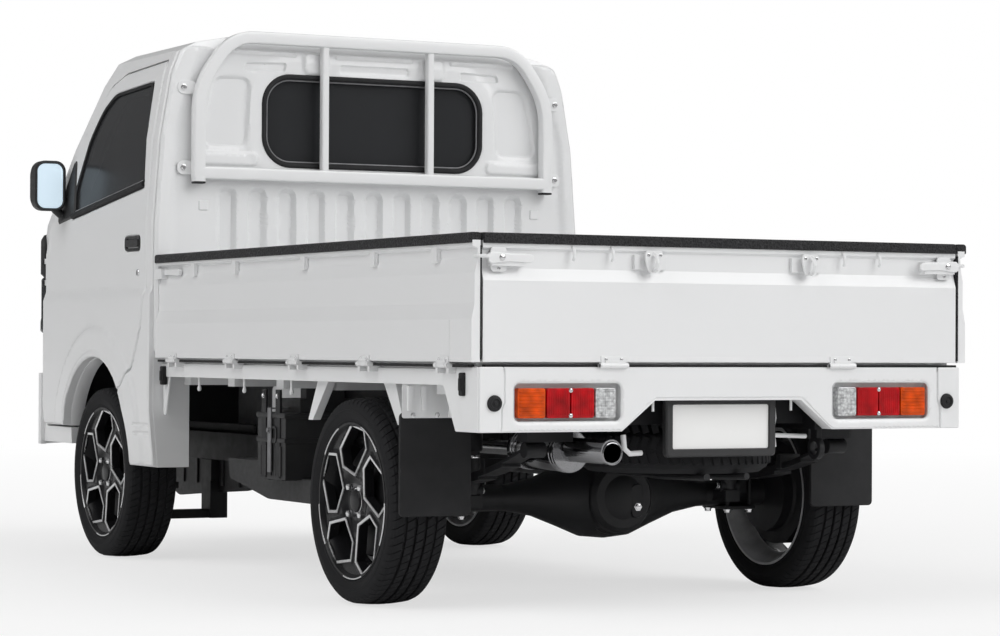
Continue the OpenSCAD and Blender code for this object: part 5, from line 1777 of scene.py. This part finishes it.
class TRUCK_OT_cabin(bpy.types.Operator):
    """Padded seats and the fittings of the dashboard"""

    bl_idname = "truck.cabin"
    bl_label = "Cabin"

    def execute(self, context):
        low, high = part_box("seats")
        for name, side in SIDES:
            y = side * SEAT_Y
            for part, half, bottom, top, axis, crown in (
                    ("cushion", SEAT_HALF, (low.x + 0.06, low.z), (high.x, low.z + 0.145), 2, 0.024),
                    ("back", SEAT_HALF, (low.x, low.z + 0.12), (low.x + 0.125, SEAT_TOP), 0, 0.026),
                    ("headrest", REST_HALF, (low.x + 0.012, SEAT_TOP + 0.010),
                     (low.x + 0.105, high.z - 0.004), 0, 0.016)):
                self.cushion(f"seat_{name}_{part}", (bottom[0], y - half, bottom[1]),
                                           (top[0], y + half, top[1]), axis, crown)
        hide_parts("seats")
        self.dashboard()
        return {"FINISHED"}

    def cushion(self, name, low, high, axis, crown):
        """A stuffed block with a crowned face, sewn flutes and rounded edges, ready to be sat on."""
        low, high = Vector(low), Vector(high)
        middle, half = (low + high) / 2, (high - low) / 2
        bm = bmesh.new()
        bmesh.ops.create_cube(bm, size=2.0)
        bmesh.ops.subdivide_edges(bm, edges=bm.edges, cuts=SEAT_CUTS, use_grid_fill=True)
        across = 1
        along = 0 if axis == 2 else 2
        for v in bm.verts:
            p = v.co.copy()
            edge = max(0.0, 1 - abs(p[across]) ** 6) * max(0.0, 1 - abs(p[along]) ** 6)
            flute = 0.004 * abs(math.sin(p[across] * 4.5 * math.pi / 2)) if abs(p[across]) < 0.62 else 0.005
            round_off = Vector([c * (1 - 0.10 * (1 - edge) * abs(c)) for c in p])
            v.co = middle + Vector((round_off.x * half.x, round_off.y * half.y, round_off.z * half.z))
            if p[axis] > 0.99:
                v.co[axis] += (crown * (0.45 + 0.55 * abs(p[across]) ** 2) * edge + flute * edge) - crown
        mesh = bpy.data.meshes.new(name)
        bmesh.ops.recalc_face_normals(bm, faces=bm.faces)
        bm.to_mesh(mesh)
        bm.free()
        mesh.materials.append(finish("seat_fabric"))
        mesh.shade_smooth()
        made = stand(mesh, name, "chassis")
        soft = made.modifiers.new("soft", "SUBSURF")
        soft.levels = soft.render_levels = 1
        return made

    def dashboard(self):
        """Instrument hood, vents, two blank panels, knobs and gear lever."""
        low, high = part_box("dashboard")
        form = Form("black_plastic", "exhaust_metal", "dark_glass")
        x = low.x
        hood = [(x - 0.02, high.z - 0.03), (x + 0.10, high.z - 0.02), (x + 0.10, high.z + 0.035),
                (x + 0.03, high.z + 0.055), (x - 0.02, high.z + 0.030)]
        form.prism(softened(hood, 0.015), "y", -0.475, -0.205, 0.008)
        form.use("dark_glass")
        form.prism(rounded(0.230, 0.052, 0.014, 4, (-0.340, high.z + 0.002)), "x", x - 0.024, x - 0.018,
                   0.002)
        form.use("black_plastic")
        for y in (-0.575, -0.085, 0.085, 0.575):
            form.prism(rounded(0.090, 0.046, 0.010, 4, (y, high.z - 0.040)), "x", x - 0.012, x + 0.006,
                       0.003)
            for k in range(4):
                z = high.z - 0.055 + k * 0.010
                form.block((x - 0.016, x - 0.010), about(y, 0.036), (z, z + 0.004), 0.001)
        form.prism(rounded(0.190, 0.062, 0.006, 4, (0.0, high.z - 0.105)), "x", x - 0.010, x + 0.006, 0.003)
        form.prism(rounded(0.380, 0.120, 0.020, 4, (0.360, high.z - 0.130)), "x", x - 0.008, x + 0.006,
                   0.003)
        form.use("exhaust_metal")
        for y in (-0.05, 0.0, 0.05):
            form.lathe(KNOB, "x", (x - 0.004, y, high.z - 0.175), 20)
        form.use("black_plastic")
        form.tube([(x - 0.20, -0.03, 0.72), (x - 0.16, -0.03, 0.84), (x - 0.165, -0.03, 0.885)], 0.009, 10)
        form.lathe(GEAR_KNOB, "z", (x - 0.165, -0.03, 0.905), 20)
        form.done("dashboard_fittings", "chassis")


class TRUCK_OT_finishes(bpy.types.Operator):
    """Gives each solid of the truck its finish and rounds its edges"""

    bl_idname = "truck.finishes"
    bl_label = "Finish the solids"

    def execute(self, context):
        slot_of = {row["node"]: row["material_slot"] for row in frame["record"]["subparts"]}
        own = {"tailgate_rail": "rail_rubber", "side_gate_left_rail": "rail_rubber",
               "side_gate_right_rail": "rail_rubber", "exhaust": "silencer_metal"}
        for name, solid in frame["nodes"].items():
            solid.data.materials.clear()
            solid.data.materials.append(finish(own.get(name, slot_of[name])))
            weld = solid.modifiers.new("weld", "WELD")
            weld.merge_threshold = 0.00002
            merge = solid.modifiers.new("flat faces", "DECIMATE")
            merge.decimate_type = "DISSOLVE"
            merge.angle_limit = math.radians(0.3)
            bevel = solid.modifiers.new("rounded edges", "BEVEL")
            bevel.width = context.scene.truck_sizes.edge * 0.6
            bevel.segments = 2
            bevel.limit_method = "ANGLE"
            bevel.angle_limit = math.radians(32)
            if name in ("cab_front", "cab_roof"):
                solid.data.shade_smooth()
                solid.modifiers.new("even shading", "WEIGHTED_NORMAL")
        return {"FINISHED"}


WHITE = (1.0, 1.0, 1.0, 1.0)
FLOOR_HALF = 90.0
FLOOR_TINT = (0.93, 0.93, 0.93, 1.0)
GLOW_NEAR = 0.62
GLOW_SLOPE = 0.035
DOME = 0.27
SUNS = (("key", 1.75, (0.68, 0.48, -0.55)), ("fill", 1.20, (0.10, -0.75, -0.65)))
SUN_SPREAD = 50
SENSOR = 36.0
CAMERA_PLACE = (REAR_X - 6.889, 3.904, 0.678)
CAMERA_ANGLES = (-27.76, 0.59, 0.27)


class TRUCK_OT_stage(bpy.types.Operator):
    """Makes the floor, the light and the camera at the photograph's angle"""

    bl_idname = "truck.stage"
    bl_label = "Stage"

    def execute(self, context):
        scene = context.scene
        mesh = bpy.data.meshes.new("floor")
        bm = bmesh.new()
        bmesh.ops.create_grid(bm, x_segments=2, y_segments=2, size=FLOOR_HALF)
        bm.to_mesh(mesh)
        bm.free()
        floor = bpy.data.objects.new("floor", mesh)
        scene.collection.objects.link(floor)
        f = Finish("floor")
        f.set(base_color=FLOOR_TINT, roughness=0.9, specular_ior_level=0.1)
        seen = f.node("ShaderNodeLightPath", {}, {}, "Is Camera Ray")
        away = f.node("ShaderNodeVectorMath", {"operation": "LENGTH"}, {0: f.place()}, 1)
        share = (away * GLOW_SLOPE + GLOW_NEAR).clamp() * seen
        f.cover(share, f.node("ShaderNodeEmission", {}, {"Color": WHITE, "Strength": 1.0}))
        floor.data.materials.append(f.owner)
        studio = Finish("studio", True)
        studio.set(color=WHITE, strength=DOME)
        seen = studio.node("ShaderNodeLightPath", {}, {}, "Is Camera Ray")
        studio.cover(seen, studio.node("ShaderNodeBackground", {}, {"Color": WHITE, "Strength": 1.0}))
        scene.world = studio.owner
        for name, energy, way in SUNS:
            sun = bpy.data.lights.new(name, "SUN")
            sun.energy, sun.angle = energy, math.radians(SUN_SPREAD)
            lamp = bpy.data.objects.new(name, sun)
            scene.collection.objects.link(lamp)
            lamp.rotation_mode = "QUATERNION"
            lamp.rotation_quaternion = Vector(way).to_track_quat("-Z", "Y")
        camera = bpy.data.cameras.new("camera")
        camera.lens, camera.sensor_width = scene.truck_sizes.lens, SENSOR
        camera.clip_start, camera.clip_end = 0.1, 400.0
        eye = bpy.data.objects.new("camera", camera)
        scene.collection.objects.link(eye)
        turn, pitch, roll = (math.radians(a) for a in CAMERA_ANGLES)
        ahead = Vector((math.cos(pitch) * math.cos(turn), math.cos(pitch) * math.sin(turn), math.sin(pitch)))
        right = ahead.cross(Vector((0, 0, 1))).normalized()
        up = right.cross(ahead)
        right, up = right * math.cos(roll) + up * math.sin(roll), up * math.cos(roll) - right * math.sin(roll)
        facing = Matrix((right, up, -ahead)).transposed().to_4x4()
        eye.matrix_world = Matrix.Translation(CAMERA_PLACE) @ facing
        scene.camera = eye
        scene.view_settings.view_transform = "Standard"
        return {"FINISHED"}


class TRUCK_PT_panel(bpy.types.Panel):
    """Sizes, colours and steps of the truck"""

    bl_idname = "TRUCK_PT_panel"
    bl_label = "Truck"
    bl_space_type = "VIEW_3D"
    bl_region_type = "UI"
    bl_category = "Truck"

    def draw(self, context):
        for group in (context.scene.truck_colours, context.scene.truck_sizes):
            for key in group.bl_rna.properties.keys():
                if key not in {"rna_type", "name"}:
                    self.layout.prop(group, key)
        for step in STEPS:
            self.layout.operator(step.bl_idname)


STEPS = (TRUCK_OT_stage, TRUCK_OT_finishes, TRUCK_OT_wheels, TRUCK_OT_cab_back, TRUCK_OT_guard,
         TRUCK_OT_doors, TRUCK_OT_tailgate, TRUCK_OT_side_gates, TRUCK_OT_rear_panel, TRUCK_OT_underbody,
         TRUCK_OT_front, TRUCK_OT_deck, TRUCK_OT_cabin)
GROUPS = (TruckColours, TruckSizes)


def register():
    for cls in (*GROUPS, *STEPS, TRUCK_PT_panel):
        bpy.utils.register_class(cls)
    bpy.types.Scene.truck_colours = PointerProperty(type=TruckColours)
    bpy.types.Scene.truck_sizes = PointerProperty(type=TruckSizes)


def unregister():
    del bpy.types.Scene.truck_sizes
    del bpy.types.Scene.truck_colours
    for cls in reversed((*GROUPS, *STEPS, TRUCK_PT_panel)):
        bpy.utils.unregister_class(cls)


def main():
    register()
    for step in STEPS:
        group, name = step.bl_idname.split(".")
        getattr(getattr(bpy.ops, group), name)()


if __name__ == "__main__":
    main()
